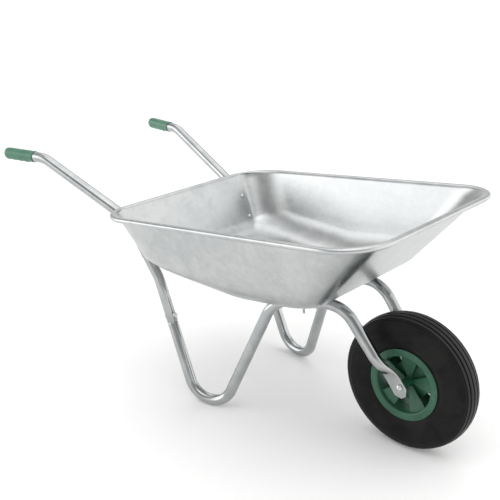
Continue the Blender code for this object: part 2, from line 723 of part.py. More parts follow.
def spoke_mesh(name, centre_angle):
    """One dished wedge from the hub to the barrel, modelled about Z with its face upward."""
    bm = bmesh.new()
    # radius, face height, thickness
    stations = [(0.0105, 0.0110, 0.0050), (0.0450, 0.0195, 0.0045), (0.0800, 0.0275, 0.0045)]
    columns = (-0.5, -0.25, 0.0, 0.25, 0.5)
    rings = []
    for radius, face, thickness in stations:
        top = []
        under = []
        for column in columns:
            angle = centre_angle + SPOKE_ANGLE * column
            x = radius * math.cos(angle)
            y = radius * math.sin(angle)
            top.append(Vector((x, y, face)))
            under.append(Vector((x, y, face - thickness)))
        rings.append(top + under[::-1])
    loops = add_rings(bm, rings)
    bridge(bm, loops)
    bm.faces.new(loops[0])
    bm.faces.new(loops[-1])
    bmesh.ops.recalc_face_normals(bm, faces=bm.faces)
    return mesh_from(bm, name)


def build_rim_half(side, sign):
    """Half of the plastic wheel centre: bead seat, lip, dished spokes, and a hub with a joint flange."""
    barrel_profile = [(0.0925, LIP_FACE_Y), (LIP_RADIUS, 0.0370), (LIP_RADIUS, 0.0345),
                      (0.0865, 0.0325), (0.0835, 0.0150), (0.0835, CLEARANCE),
                      (0.0745, CLEARANCE), (0.0760, 0.0370), (0.0785, LIP_FACE_Y)]
    rim_half = turned("rim_half_" + side, barrel_profile, WHEEL_STEPS, GREEN_RIM)
    hub_profile = [(HUB_RADIUS - 0.0010, HUB_HALF_WIDTH), (HUB_RADIUS, HUB_FLANGE_HEIGHT),
                   (HUB_FLANGE_RADIUS, HUB_FLANGE_HEIGHT), (HUB_FLANGE_RADIUS, CLEARANCE),
                   (HUB_BORE, CLEARANCE), (HUB_BORE, HUB_HALF_WIDTH)]
    hub = turned("rim_hub_" + side, hub_profile, 16, None, collection=CUTTERS)
    pieces = [hub]
    for index in range(SPOKE_COUNT):
        turn = FIRST_SPOKE + 2.0 * math.pi * index / SPOKE_COUNT
        local_angle = -turn if sign > 0.0 else turn
        name = "rim_spoke_" + side + "_" + str(index + 1)
        pieces.append(add_object(name, spoke_mesh(name, local_angle), None, CUTTERS))
    wheel_place(rim_half, flip=sign < 0.0)
    for piece in pieces:
        piece.hide_render = True
        piece.display_type = 'WIRE'
        wheel_place(piece, flip=sign < 0.0)
        boolean(rim_half, piece, 'UNION')
    return rim_half


def build_tyre():
    """Tyre carcass open towards the rim, with four round grooves in the tread."""
    side_profile = [(0.0870, 0.0265), (0.0875, 0.0320), (0.0962, 0.0342), (0.1040, 0.0376),
                    (0.1180, TYRE_HALF_WIDTH), (0.1400, 0.0393), (0.1570, 0.0370),
                    (0.1680, 0.0325), (0.1742, 0.0270)]
    groove_centres = (0.0200, 0.0075, -0.0075, -0.0200)
    crown = []
    for centre in groove_centres:
        for offset, drop in ((0.0018, 0.0), (0.0007, 0.0024), (-0.0007, 0.0024), (-0.0018, 0.0)):
            height = centre + offset
            surface = WHEEL_RADIUS - 0.0058 * (height / 0.0270) ** 2
            crown.append((surface - drop, height))
    inner = [(0.1000, 0.0295), (0.1180, 0.0345), (0.1400, 0.0343), (0.1590, 0.0305), (0.1705, 0.0200),
             (0.1735, 0.0)]
    outer = side_profile + crown[:8] + [(WHEEL_RADIUS, 0.0)] + crown[8:]
    outer += [(radius, -height) for radius, height in reversed(side_profile)]
    lining = inner + [(radius, -height) for radius, height in reversed(inner[:-1])]
    return turned("tyre", outer + lining[::-1], WHEEL_STEPS, TYRE_RUBBER)


def build_inner_tube():
    """Thin rubber ring inside the tyre, open where the valve is moulded in."""
    centre_radius = 0.1305
    radial, lateral, wall = 0.0400, 0.0285, 0.0020

    def oval(inset):
        angles = [-2.0 * math.pi * (index + 0.5) / 10 for index in range(10)]
        return [(centre_radius + math.cos(angle) * (radial - inset), math.sin(angle) * (lateral - inset))
                for angle in angles]

    inner_tube = turned("inner_tube", oval(0.0), 24, TUBE_RUBBER)
    hollow = turned("inner_tube_hollow", oval(wall), 24, None, collection=CUTTERS)
    hollow.hide_render = True
    hollow.display_type = 'WIRE'
    wheel_place(inner_tube)
    wheel_place(hollow)
    boolean(inner_tube, hollow, 'DIFFERENCE')
    return inner_tube


def build_valve(drilled):
    """Valve stem moulded into the inner tube, standing in the opening between two spokes."""
    outward = Vector((math.cos(VALVE_ANGLE), 0.0, math.sin(VALVE_ANGLE)))
    foot_at, stem_end, cap_end = 0.0935, 0.0600, 0.0540
    profile = [(0.0, 0.0), (0.0037, 0.0), (0.0037, -0.0180), (0.0026, -0.0195),
               (0.0026, stem_end - foot_at), (0.0, stem_end - foot_at)]
    stem = turned("valve_stem", profile, 12, TUBE_RUBBER, closed=False)
    place(stem, AXLE_CENTRE + outward * foot_at, outward)
    depth = stem_end - cap_end
    profile = [(0.0, 0.0), (0.0034, 0.0), (0.0038, 0.0010), (0.0038, depth + 0.0040),
               (0.0029, depth + 0.0040), (0.0029, depth - CLEARANCE), (0.0, depth - CLEARANCE)]
    cap = turned("valve_cap", profile[::-1], 12, VALVE_CAP, closed=False)
    place(cap, AXLE_CENTRE + outward * cap_end, outward)
    cutter = rod_cutter("valve_hole", AXLE_CENTRE + outward * 0.0800, outward, 0.0042, 0.0180)
    for target in drilled:
        boolean(target, cutter, 'DIFFERENCE')


def build_axle():
    """Steel axle with thin washers inside the fork, closed domed nuts outside it, and two bushes."""
    plate_inner = FORK_TIP_Y - TIP_HALF_THICKNESS - CLEARANCE
    plate_outer = FORK_TIP_Y + TIP_HALF_THICKNESS + CLEARANCE
    half = plate_outer + 0.0048
    bush_depth = 0.0180
    axle = turned("axle", [(0.0, half), (AXLE_RADIUS, half), (AXLE_RADIUS, -half), (0.0, -half)],
                  16, ZINC_FASTENER, closed=False)
    wheel_place(axle)
    for side, sign in SIDES:
        washer_profile = [(WASHER_RADIUS, plate_inner), (WASHER_RADIUS, BUSH_FACE + CLEARANCE),
                          (AXLE_BORE, BUSH_FACE + CLEARANCE), (AXLE_BORE, plate_inner)]
        nut_profile = [(0.0, plate_outer + 0.0078), (0.0042, plate_outer + 0.0071),
                       (0.0073, plate_outer + 0.0050), (0.0088, plate_outer + 0.0015),
                       (0.0088, plate_outer), (AXLE_BORE, plate_outer),
                       (AXLE_BORE, half + CLEARANCE), (0.0, half + CLEARANCE)]
        bush_profile = [(BUSH_FLANGE_RADIUS, BUSH_FACE),
                        (BUSH_FLANGE_RADIUS, HUB_HALF_WIDTH + CLEARANCE),
                        (BUSH_RADIUS, HUB_HALF_WIDTH + CLEARANCE), (BUSH_RADIUS, bush_depth),
                        (AXLE_BORE, bush_depth), (AXLE_BORE, BUSH_FACE)]
        flip = sign < 0.0
        wheel_place(turned("axle_washer_" + side, washer_profile, 16, ZINC_FASTENER), flip)
        wheel_place(turned("axle_nut_" + side, nut_profile, 16, ZINC_FASTENER, closed=False), flip)
        wheel_place(turned("bearing_bush_" + side, bush_profile, 16, BUSH_NYLON), flip)


def build_wheel():
    drilled = [build_rim_half(side, sign) for side, sign in SIDES]
    wheel_place(build_tyre())
    drilled.append(build_inner_tube())
    build_valve(drilled)
    build_axle()


tray_object = build_tray()
for side_name, side_sign in SIDES:
    build_frame_side(side_name, side_sign, tray_object)
build_wheel()
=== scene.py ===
"""Looks of the garden wheelbarrow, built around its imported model.

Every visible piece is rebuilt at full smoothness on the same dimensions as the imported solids, and
gets a procedural material. Hidden solids stay and only get a material. Metres; +X forward to the
wheel, +Y to the left side, +Z up.
"""
import math

import bmesh
import bpy
from mathutils import Matrix, Vector


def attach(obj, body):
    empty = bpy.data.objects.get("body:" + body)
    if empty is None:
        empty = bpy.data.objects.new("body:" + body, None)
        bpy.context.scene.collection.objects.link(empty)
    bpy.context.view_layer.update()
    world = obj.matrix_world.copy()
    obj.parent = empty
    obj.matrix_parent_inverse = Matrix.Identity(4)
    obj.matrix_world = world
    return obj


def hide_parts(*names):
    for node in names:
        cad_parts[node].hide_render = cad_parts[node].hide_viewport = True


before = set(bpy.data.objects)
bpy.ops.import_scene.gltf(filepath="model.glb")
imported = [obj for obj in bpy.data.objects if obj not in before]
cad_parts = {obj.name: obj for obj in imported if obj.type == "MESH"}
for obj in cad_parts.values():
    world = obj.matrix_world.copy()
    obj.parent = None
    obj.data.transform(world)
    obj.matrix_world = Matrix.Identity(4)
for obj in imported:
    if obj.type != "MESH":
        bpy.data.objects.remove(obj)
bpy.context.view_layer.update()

# ---------------------------------------------------------------- dimensions shared with the solids
WHEEL_RADIUS = 0.180
WHEEL_X = 0.540
AXLE_CENTRE = Vector((WHEEL_X, 0.0, WHEEL_RADIUS))
CLEARANCE = 0.0003

TUBE_RADIUS = 0.015
TUBE_WALL = 0.0015

SHEET = 0.0012
RIM_BACK = Vector((-0.2693, 0.0, 0.5123))
RIM_TILT = math.radians(6.9)
RIM_LENGTH = 0.862
RIM_HALF_WIDTH = 0.3243
BEAD_RADIUS = 0.0055
BEAD_CORNER_BACK = (0.108, 0.108)
BEAD_CORNER_FRONT = (0.118, 0.118)
LIP_WIDTH = 0.0146
LIP_ROUNDING = 0.012
BACK_SLOPE = 0.483
SIDE_SLOPE = 0.290
FRONT_SLOPE = 1.068
TRAY_DEPTH = 0.2065
DEPTH_FALL = -0.0187
CREASE_AT = 0.400
CREASE_HALF = 0.030
REAR_FLOOR_SLOPE = 0.183
FLOOR_ROUNDING = (0.052, 0.092, 0.092)
BACK_CORNER_TOP = (0.120, 0.064)
BACK_CORNER_FLOOR = (0.125, 0.050)
FRONT_CORNER_TOP = (0.108, 0.108)
FRONT_CORNER_FLOOR = (0.060, 0.060)

FORK_BEND_X = 0.3850
LEG_TOP_BEND_X = 0.1980
FLOOR_BOLT_X = 0.2790
LEG_LINES_MEET = (0.0330, -0.1050)
SPLAY_AT_AXLE = 0.0740
SPLAY_ALONG = 0.2073
SPLAY_UP = -0.0973
SPLAY_HEIGHT = 0.2022
FORK_BEND_RADIUS = 0.085
LEG_TOP_RADIUS = 0.085
FOOT_RADIUS = 0.0675
FOOT_WEAR = 0.0005

WALL_BEND_Z = 0.3300
WALL_BEND_Y = 0.2056
RIM_BEND_Z = 0.4815
RIM_BEND_Y = 0.2200
HANDLE_BEND = Vector((-0.5582, 0.2678, 0.6148))
GRIP_END = Vector((-0.7111, 0.2929, 0.6113))
WALL_BEND_RADIUS = 0.150
RIM_BEND_RADIUS = 0.085
HANDLE_BEND_RADIUS = 0.085

SLEEVE_END_Z = 0.2130
JOINT_BOLT_Z = 0.2290
WALL_BOLT_HEIGHTS = (("upper_wall", 0.4516), ("lower_wall", 0.3946))
INSERT_LENGTH = 0.060
INSERT_RADIUS = 0.0131

FORK_TIP_Y = 0.0508
TIP_HALF_WIDTH = 0.0207
TIP_START_HALF_WIDTH = 0.0166
TIP_HALF_THICKNESS = 0.0025
TIP_BEYOND_AXLE = 0.0270
TIP_OFFSET = 0.0060
TIP_BEND_SPAN = (0.100, 0.012)
TIP_PRESS_SPAN = (0.074, 0.036)
FLAT_SHARE = 0.893

GRIP_LENGTH = 0.1175
GRIP_RADIUS = 0.0167
GRIP_BORE = 0.0153
GRIP_CLOSED = 0.009
GRIP_SWELL = 0.0021
FINGER_COUNT = 4
FINGER_START = 0.0045
FINGER_PITCH = 0.0236

AXLE_RADIUS = 0.006
HUB_HALF_WIDTH = 0.0450
HUB_RADIUS = 0.0125
HUB_BORE = 0.0086
HUB_FLANGE_RADIUS = 0.0515
HUB_FLANGE_HEIGHT = 0.0038
LIP_RADIUS = 0.0955
LIP_FACE_Y = 0.0383
SPOKE_COUNT = 5
SPOKE_ANGLE = math.radians(36.0)
FIRST_SPOKE = math.radians(87.0)
VALVE_ANGLE = math.radians(51.0)
TYRE_HALF_WIDTH = 0.0395
CROWN_HALF_WIDTH = 0.0280
CROWN_FALL = 0.0060
CROWN_CURVE = 2.2
SHOULDER_HALF_WIDTH = 0.0375
SHOULDER_RADIUS = 0.1550

SIDES = (("left", 1.0), ("right", -1.0))
TUBE_SIDES = 40
TURN_STEPS = 144


# ---------------------------------------------------------------- material helpers
class Nodes:
    """Short names for the nodes of one tree, with the coordinates that its chains start from."""

    def __init__(self, tree, coordinates):
        self.tree = tree
        self.place = self.node("ShaderNodeTexCoord").outputs[coordinates]

    def node(self, kind, values=(), **settings):
        new_node = self.tree.nodes.new(kind)
        for label, value in settings.items():
            setattr(new_node, label, value)
        for label, value in dict(values).items():
            new_node.inputs[label].default_value = value
        return new_node

    def link(self, source, target):
        self.tree.links.new(source, target)

    def span(self, source, low, high, to_low=0.0, to_high=1.0):
        limits = {"From Min": low, "From Max": high, "To Min": to_low, "To Max": to_high}
        spread = self.node("ShaderNodeMapRange", limits, interpolation_type='SMOOTHSTEP')
        self.link(source, spread.inputs["Value"])
        return spread.outputs["Result"]

    def maths(self, operation, first, second):
        maths = self.node("ShaderNodeMath", operation=operation)
        for socket, value in zip(maths.inputs, (first, second)):
            if isinstance(value, (int, float)):
                socket.default_value = value
            else:
                self.link(value, socket)
        return maths.outputs["Value"]

    def times(self, first, second):
        return self.maths('MULTIPLY', first, second)

    def plus(self, first, second):
        return self.maths('ADD', first, second)

    def separate(self, vector):
        parts = self.node("ShaderNodeSeparateXYZ")
        self.link(vector, parts.inputs["Vector"])
        return parts.outputs

    def against(self, operation, vector):
        """A vector operation between the place and a fixed vector."""
        combined = self.node("ShaderNodeVectorMath", operation=operation)
        self.link(self.place, combined.inputs[0])
        combined.inputs[1].default_value = vector
        return combined.outputs


class Look(Nodes):
    """A Principled material whose inputs are fed by small procedural node chains."""

    def __init__(self, name, metallic=0.0, **sockets):
        self.material = bpy.data.materials.new(name)
        self.material.use_nodes = True
        super().__init__(self.material.node_tree, "Object")
        self.shader = self.tree.nodes["Principled BSDF"]
        self.shader.inputs["Metallic"].default_value = metallic
        for label, value in sockets.items():
            self.shader.inputs[label.replace("_", " ")].default_value = value

    def feed(self, label, source):
        self.link(source, self.shader.inputs[label])

    def stretched(self, scale, source=None):
        mapping = self.node("ShaderNodeMapping", {"Scale": scale})
        self.link(source or self.place, mapping.inputs["Vector"])
        return mapping.outputs["Vector"]

    def noise(self, scale, detail=4.0, roughness=0.55, distortion=0.0, source=None):
        values = {"Scale": scale, "Detail": detail, "Roughness": roughness, "Distortion": distortion}
        noise = self.node("ShaderNodeTexNoise", values)
        self.link(source or self.place, noise.inputs["Vector"])
        return noise.outputs["Fac"]

    def cells(self, scale, source):
        cells = self.node("ShaderNodeTexVoronoi", {"Scale": scale})
        self.link(source, cells.inputs["Vector"])
        return cells.outputs

    def mix(self, factor, first, second):
        mix = self.node("ShaderNodeMix", data_type='RGBA')
        self.link(factor, mix.inputs["Factor"])
        for label, value in (("A", first), ("B", second)):
            socket = [s for s in mix.inputs if s.name == label and s.type == 'RGBA'][0]
            if isinstance(value, tuple):
                socket.default_value = (*value, 1.0)
            else:
                self.link(value, socket)
        return [s for s in mix.outputs if s.type == 'RGBA'][0]

    def bump(self, height, strength, distance, after=None):
        bump = self.node("ShaderNodeBump", {"Strength": strength, "Distance": distance})
        self.link(height, bump.inputs["Height"])
        if after is not None:
            self.link(after, bump.inputs["Normal"])
        return bump.outputs["Normal"]

    def edges(self, radius, low=0.02, high=0.25):
        """About 1 along worn outer edges and 0 on smooth faces."""
        bevel = self.node("ShaderNodeBevel", {"Radius": radius}, samples=4)
        geometry = self.node("ShaderNodeNewGeometry")
        cross = self.node("ShaderNodeVectorMath", operation='DISTANCE')
        self.link(bevel.outputs["Normal"], cross.inputs[0])
        self.link(geometry.outputs["Normal"], cross.inputs[1])
        return self.span(cross.outputs["Value"], low, high)


def galvanised_sheet():
    """Hot-dip zinc on pressed sheet: cloudy patches, faint crystals, rolling streaks, scuffs."""
    look = Look("galvanised_sheet", metallic=1.0)
    clouds = look.noise(5.5, 5.0, 0.62, 0.6)
    patches = look.noise(22.0, 4.0, 0.6, 0.9)
    crystals = look.cells(75.0, look.stretched((1.0, 1.0, 1.3)))
    crystal_tone = look.noise(1.0, 0.0, source=crystals["Color"])
    streaks = look.noise(14.0, 6.0, 0.7, source=look.stretched((0.35, 6.0, 6.0)))
    scuffs = look.span(look.noise(60.0, 8.0, 0.75, source=look.stretched((0.3, 2.4, 2.4))), 0.66, 0.78)
    tone = look.plus(look.times(clouds, 0.55), look.times(patches, 0.30))
    tone = look.plus(tone, look.times(crystal_tone, 0.15))
    colour = look.mix(look.span(tone, 0.36, 0.64), (0.44, 0.455, 0.46), (0.56, 0.57, 0.568))
    colour = look.mix(look.times(scuffs, 0.35), colour, (0.66, 0.665, 0.66))
    look.feed("Base Color", colour)
    look.feed("Roughness", look.plus(look.span(tone, 0.32, 0.68, 0.23, 0.32), look.times(streaks, 0.08)))
    wave = look.bump(look.noise(9.0, 2.0, 0.5), 0.25, 0.0040)
    look.feed("Normal", look.bump(look.plus(crystals["Distance"], streaks), 0.06, 0.0006, wave))
    return look.material


def galvanised_tube():
    """Bright zinc on drawn tube: lengthwise draw lines, faint clouds and handling marks."""
    look = Look("galvanised_tube", metallic=1.0)
    along = look.node("ShaderNodeUVMap", uv_map="UVMap").outputs["UV"]
    lines = look.noise(420.0, 3.0, 0.6, source=look.stretched((1.0, 0.012, 1.0), source=along))
    fine = look.noise(1500.0, 2.0, 0.5, source=look.stretched((1.0, 0.010, 1.0), source=along))
    clouds = look.noise(16.0, 5.0, 0.62, 0.8)
    marks = look.span(look.noise(60.0, 6.0, 0.7), 0.66, 0.80)
    tone = look.plus(look.times(clouds, 0.6), look.times(lines, 0.4))
    colour = look.mix(look.span(tone, 0.36, 0.64), (0.36, 0.375, 0.38), (0.46, 0.47, 0.47))
    colour = look.mix(look.times(marks, 0.18), colour, (0.30, 0.31, 0.315))
    look.feed("Base Color", colour)
    look.feed("Roughness", look.plus(look.span(clouds, 0.3, 0.7, 0.15, 0.21), look.times(marks, 0.12)))
    ridges = look.bump(look.plus(lines, look.times(fine, 0.5)), 0.10, 0.0004)
    look.feed("Normal", look.bump(look.noise(30.0, 2.0), 0.10, 0.0010, ridges))
    return look.material


def zinc_fastener():
    """Plated bolt and nut steel with slightly brighter, rubbed edges."""
    look = Look("zinc_fastener", metallic=1.0)
    mottled = look.noise(260.0, 5.0, 0.6, 0.5)
    worn = look.edges(0.0006)
    colour = look.mix(look.span(mottled, 0.35, 0.65), (0.50, 0.51, 0.52), (0.72, 0.725, 0.72))
    look.feed("Base Color", look.mix(look.times(worn, 0.5), colour, (0.84, 0.84, 0.83)))
    look.feed("Roughness", look.span(mottled, 0.3, 0.7, 0.22, 0.38))
    look.feed("Normal", look.bump(look.noise(900.0, 3.0), 0.08, 0.0002))
    return look.material


def moulded_plastic(name, dark, light, rough, grain_scale):
    """Injection-moulded plastic: slight tone drift, fine grain, paler rubbed edges, dust."""
    look = Look(name, Specular_IOR_Level=0.5, Coat_Weight=0.0)
    drift = look.noise(18.0, 4.0, 0.6, 0.4)
    dust = look.span(look.noise(55.0, 7.0, 0.7), 0.52, 0.80)
    worn = look.edges(0.0012)
    colour = look.mix(look.span(drift, 0.3, 0.7), dark, light)
    colour = look.mix(look.times(worn, 0.45), colour, tuple(1.8 * c for c in light))
    colour = look.mix(look.times(dust, 0.10), colour, (0.45, 0.46, 0.42))
    look.feed("Base Color", colour)
    tone = look.span(drift, 0.3, 0.7, rough, rough + 0.10)
    look.feed("Roughness", look.plus(tone, look.times(dust, 0.15)))
    grain = look.bump(look.noise(grain_scale, 2.0, 0.5), 0.12, 0.0002)
    look.feed("Normal", look.bump(look.noise(40.0, 2.0), 0.05, 0.0008, grain))
    return look.material


def tyre_rubber():
    """Satin moulded rubber: chalky bloom, fine moulding grain, and tread ribs painted paler than the
    grooves, partly as scuffing and partly as a painted highlight on the crests.
    """
    look = Look("tyre_rubber", Specular_IOR_Level=0.11)
    bloom = look.noise(14.0, 5.0, 0.62, 0.8)
    speck = look.span(look.noise(240.0, 5.0, 0.7), 0.60, 0.80)
    worn = look.edges(0.0010, 0.05, 0.5)
    colour = look.mix(look.span(bloom, 0.32, 0.68), (0.0055, 0.0055, 0.0056), (0.0125, 0.0125, 0.0122))
    colour = look.mix(look.times(worn, 0.60), colour, (0.075, 0.075, 0.073))
    colour = look.mix(look.times(speck, 0.20), colour, (0.050, 0.049, 0.047))
    across, along, up = look.separate(look.against('SUBTRACT', AXLE_CENTRE)["Vector"])
    distance = look.plus(look.maths('POWER', across, 2.0), look.maths('POWER', up, 2.0))
    distance = look.maths('SQRT', distance, 0.0)
    reach = look.maths('ABSOLUTE', along, 0.0)
    fall = look.maths('POWER', look.maths('DIVIDE', reach, CROWN_HALF_WIDTH), CROWN_CURVE)
    crown = look.maths('SUBTRACT', WHEEL_RADIUS, look.times(fall, CROWN_FALL))
    # painted highlight and scuffing: the raised tread surface is painted paler than the groove floors,
    # standing partly for wear and partly for light caught on the crests
    ribs = look.span(look.maths('SUBTRACT', distance, crown), -0.0016, -0.0003)
    ribs = look.times(ribs, look.span(reach, 0.0300, 0.0345, 1.0, 0.0))
    colour = look.mix(look.times(ribs, 0.80), colour, (0.040, 0.040, 0.0395))
    look.feed("Base Color", colour)
    look.feed("Roughness", look.plus(look.span(bloom, 0.3, 0.7, 0.34, 0.46), look.times(speck, 0.10)))
    grain = look.bump(look.noise(700.0, 3.0, 0.6), 0.15, 0.0002)
    look.feed("Normal", look.bump(look.noise(35.0, 3.0), 0.06, 0.0012, grain))
    return look.material


def soft_rubber(name, dark, light):
    look = Look(name)
    drift = look.noise(90.0, 4.0, 0.6)
    look.feed("Base Color", look.mix(look.span(drift, 0.3, 0.7), dark, light))
    look.feed("Roughness", look.span(drift, 0.3, 0.7, 0.50, 0.66))
    look.feed("Normal", look.bump(look.noise(600.0, 3.0), 0.12, 0.0002))
    return look.material


def pale_floor():
    """Matt studio floor, almost white, with the faintest tone drift."""
    look = Look("studio_floor", Specular_IOR_Level=0.15, Emission_Strength=0.10,
                Emission_Color=(1.0, 1.0, 0.99, 1.0))
    drift = look.noise(1.6, 3.0, 0.5)
    look.feed("Base Color", look.mix(drift, (0.895, 0.895, 0.89), (0.915, 0.915, 0.91)))
    look.feed("Roughness", look.span(look.noise(40.0, 3.0), 0.3, 0.7, 0.75, 0.85))
    return look.material


LOOKS = {
    "sheet": galvanised_sheet(),
    "tube": galvanised_tube(),
    "fastener": zinc_fastener(),
    "grip": moulded_plastic("green_grip", (0.052, 0.165, 0.102), (0.072, 0.205, 0.132), 0.28, 900.0),
    "rim": moulded_plastic("green_wheel_centre", (0.013, 0.075, 0.041), (0.021, 0.104, 0.057), 0.36, 700.0),
    "tyre": tyre_rubber(),
    "inner_tube": soft_rubber("inner_tube_rubber", (0.012, 0.012, 0.012), (0.028, 0.028, 0.028)),
    "cap": soft_rubber("valve_cap_plastic", (0.010, 0.010, 0.011), (0.022, 0.022, 0.024)),
    "bush": moulded_plastic("bush_nylon", (0.016, 0.017, 0.017), (0.026, 0.027, 0.027), 0.42, 500.0),
}


# ---------------------------------------------------------------- mesh helpers
def add_piece(label, side, bm, body, slot, sharp=None, name=None):
    """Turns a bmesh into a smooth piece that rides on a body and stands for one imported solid."""
    ending = "_" + side if side else ""
    mesh = bpy.data.meshes.new((name or label + "_smooth") + ending)
    bm.normal_update()
    bm.to_mesh(mesh)
    bm.free()
    mesh.materials.append(LOOKS[slot])
    mesh.shade_smooth()
    if sharp is not None:
        mesh.set_sharp_from_angle(angle=math.radians(sharp))
    piece = bpy.data.objects.new(mesh.name, mesh)
    bpy.context.scene.collection.objects.link(piece)
    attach(piece, body)
    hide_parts(label + ending)
    return piece


def loft(bm, rings, girth=1.0, distances=None, closed_loop=False):
    """Joins rings of points with quads, and lays out a map of girth by distance on them."""
    layer = bm.loops.layers.uv.verify()
    loops = [[bm.verts.new(point) for point in ring] for ring in rings]
    count = len(loops[0])
    if distances is None:
        distances = [0.01 * index for index in range(len(rings) + 1)]
    last = len(loops) if closed_loop else len(loops) - 1
    for index in range(last):
        here, there = loops[index], loops[(index + 1) % len(loops)]
        for k in range(count):
            n = (k + 1) % count
            face = bm.faces.new((here[k], here[n], there[n], there[k]))
            places = ((k, index), (k + 1, index), (k + 1, index + 1), (k, index + 1))
            for corner, (around, along) in zip(face.loops, places):
                corner[layer].uv = (girth * around / count, distances[min(along, len(distances) - 1)])
    return loops


def cap_ends(bm, loops):
    bm.faces.new(loops[0])
    bm.faces.new(loops[-1])


def outward(bm):
    bmesh.ops.recalc_face_normals(bm, faces=bm.faces)


def rounded(profile, radius, steps=4):
    """A closed (radius, height) outline with every corner rounded as far as its sides allow."""
    points = []
    for index, corner in enumerate(profile):
        here = Vector(corner)
        before = Vector(profile[index - 1]) - here
        after = Vector(profile[(index + 1) % len(profile)]) - here
        cut = min(radius, 0.45 * before.length, 0.45 * after.length)
        start = here + before.normalized() * cut
        end = here + after.normalized() * cut
        for step in range(steps + 1):
            share = step / steps
            point = start * (1 - share) ** 2 + here * 2 * share * (1 - share) + end * share ** 2
            points.append((point.x, point.y))
    return points


def polar(radius, angle, height):
    return Vector((radius * math.cos(angle), radius * math.sin(angle), height))


def revolve(profile, steps=TURN_STEPS, closed=True, bm=None):
    """A (radius, height) outline turned about Z in a bmesh; open outlines start and end on the axis."""
    if bm is None:
        bm = bmesh.new()
    layer = bm.loops.layers.uv.verify()
    loops = []
    for radius, height in profile:
        if radius < 1e-6:
            loops.append([bm.verts.new((0.0, 0.0, height))])
            continue
        loops.append([bm.verts.new(polar(radius, 2 * math.pi * k / steps, height)) for k in range(steps)])
    last = len(loops) if closed else len(loops) - 1
    for index in range(last):
        here, there = loops[index], loops[(index + 1) % len(loops)]
        for k in range(steps):
            n = (k + 1) % steps
            if len(here) == 1:
                face = bm.faces.new((here[0], there[n], there[k]))
            elif len(there) == 1:
                face = bm.faces.new((here[k], here[n], there[0]))
            else:
                face = bm.faces.new((here[k], here[n], there[n], there[k]))
            for corner in face.loops:
                corner[layer].uv = (corner.vert.co.x, corner.vert.co.y)
    outward(bm)
    return bm


def aim(bm, centre, direction):
    """Moves a bmesh made about Z so that Z lies along a direction through a point."""
    bm.transform(Matrix.Translation(centre) @ direction.to_track_quat('Z', 'Y').to_matrix().to_4x4())


def onto_axle(bm, flip=False):
    """Moves a bmesh made about Z onto the axle, with Z along +Y, or -Y when flipped."""
    angle = 0.5 * math.pi if flip else -0.5 * math.pi
    bm.transform(Matrix.Translation(AXLE_CENTRE) @ Matrix.Rotation(angle, 4, 'X'))


def smooth_step(value):
    value = min(1.0, max(0.0, value))
    return value * value * (3.0 - 2.0 * value)


# ---------------------------------------------------------------- frame geometry
RIM_FORWARD = Vector((math.cos(RIM_TILT), 0.0, math.sin(RIM_TILT)))
RIM_DOWN = Vector((math.sin(RIM_TILT), 0.0, -math.cos(RIM_TILT)))
WALL_ANGLE = math.atan(BACK_SLOPE) + RIM_TILT
WALL_AWAY = Vector((-math.cos(WALL_ANGLE), 0.0, -math.sin(WALL_ANGLE)))


def from_rim(forward, sideways, down):
    return RIM_BACK + RIM_FORWARD * forward + Vector((0.0, sideways, 0.0)) + RIM_DOWN * down


def splay(x, z):
    return SPLAY_AT_AXLE + SPLAY_ALONG * (WHEEL_X - x) + SPLAY_UP * (z - SPLAY_HEIGHT)


def lower_point(x, z):
    return Vector((x, splay(x, z), z))


def on_line_at_height(first, second, z):
    return first.lerp(second, (z - first.z) / (second.z - first.z))


def back_wall_axis(z, y):
    start = from_rim(LIP_WIDTH, 0.0, 0.0) + WALL_AWAY * (TUBE_RADIUS + CLEARANCE)
    return Vector((start.x + (start.z - z) * math.tan(WALL_ANGLE), y, z))


def floor_depth(forward):
    depth = TRAY_DEPTH + DEPTH_FALL * (forward - 0.5)
    behind = CREASE_AT - forward
    if behind > CREASE_HALF:
        return depth - REAR_FLOOR_SLOPE * behind
    if behind > -CREASE_HALF:
        return depth - REAR_FLOOR_SLOPE * (behind + CREASE_HALF) ** 2 / (4.0 * CREASE_HALF)
    return depth


def floor_outer_height(x):
    first = from_rim(0.5, 0.0, floor_depth(0.5))
    second = from_rim(0.6, 0.0, floor_depth(0.6))
    return first.z + (second.z - first.z) * (x - first.x) / (second.x - first.x)


def run_point(x):
    rise = floor_outer_height(1.0) - floor_outer_height(0.0)
    drop = (TUBE_RADIUS + CLEARANCE) * math.sqrt(1.0 + rise * rise)
    return lower_point(x, floor_outer_height(x) - drop)


WALL_BEND = back_wall_axis(WALL_BEND_Z, WALL_BEND_Y)
RIM_BEND = back_wall_axis(RIM_BEND_Z, RIM_BEND_Y)
FORK_BEND = run_point(FORK_BEND_X)
LEG_TOP_BEND = run_point(LEG_TOP_BEND_X)
LEGS_MEET = lower_point(*LEG_LINES_MEET)
REAR_FOOT = on_line_at_height(LEGS_MEET, WALL_BEND, TUBE_RADIUS - FOOT_WEAR)
FRONT_FOOT = on_line_at_height(LEGS_MEET, LEG_TOP_BEND, TUBE_RADIUS - FOOT_WEAR)
SLEEVE_END = on_line_at_height(LEGS_MEET, WALL_BEND, SLEEVE_END_Z)
JOINT_UP = (WALL_BEND - LEGS_MEET).normalized()
GRIP_AXIS = (HANDLE_BEND - GRIP_END).normalized()


def side_vector(vector, sign):
    return Vector((vector.x, vector.y * sign, vector.z))


def mirrored(points, sign):
    return [side_vector(point, sign) for point in points]


def fillet_path(corners, radii, degrees_per_step=3.0):
    path = [corners[0].copy()]
    for before, corner, after, radius in zip(corners, corners[1:], corners[2:], radii):
        back = (before - corner).normalized()
        ahead = (after - corner).normalized()
        half = 0.5 * back.angle(ahead)
        centre = corner + (back + ahead).normalized() * (radius / math.sin(half))
        start = corner + back * (radius / math.tan(half)) - centre
        turn = math.pi - 2.0 * half
        steps = max(2, math.ceil(math.degrees(turn) / degrees_per_step))
        for index in range(steps + 1):
            angle = turn * index / steps
            path.append(centre + start * math.cos(angle) - back * radius * math.sin(angle))
    path.append(corners[-1].copy())
    return path


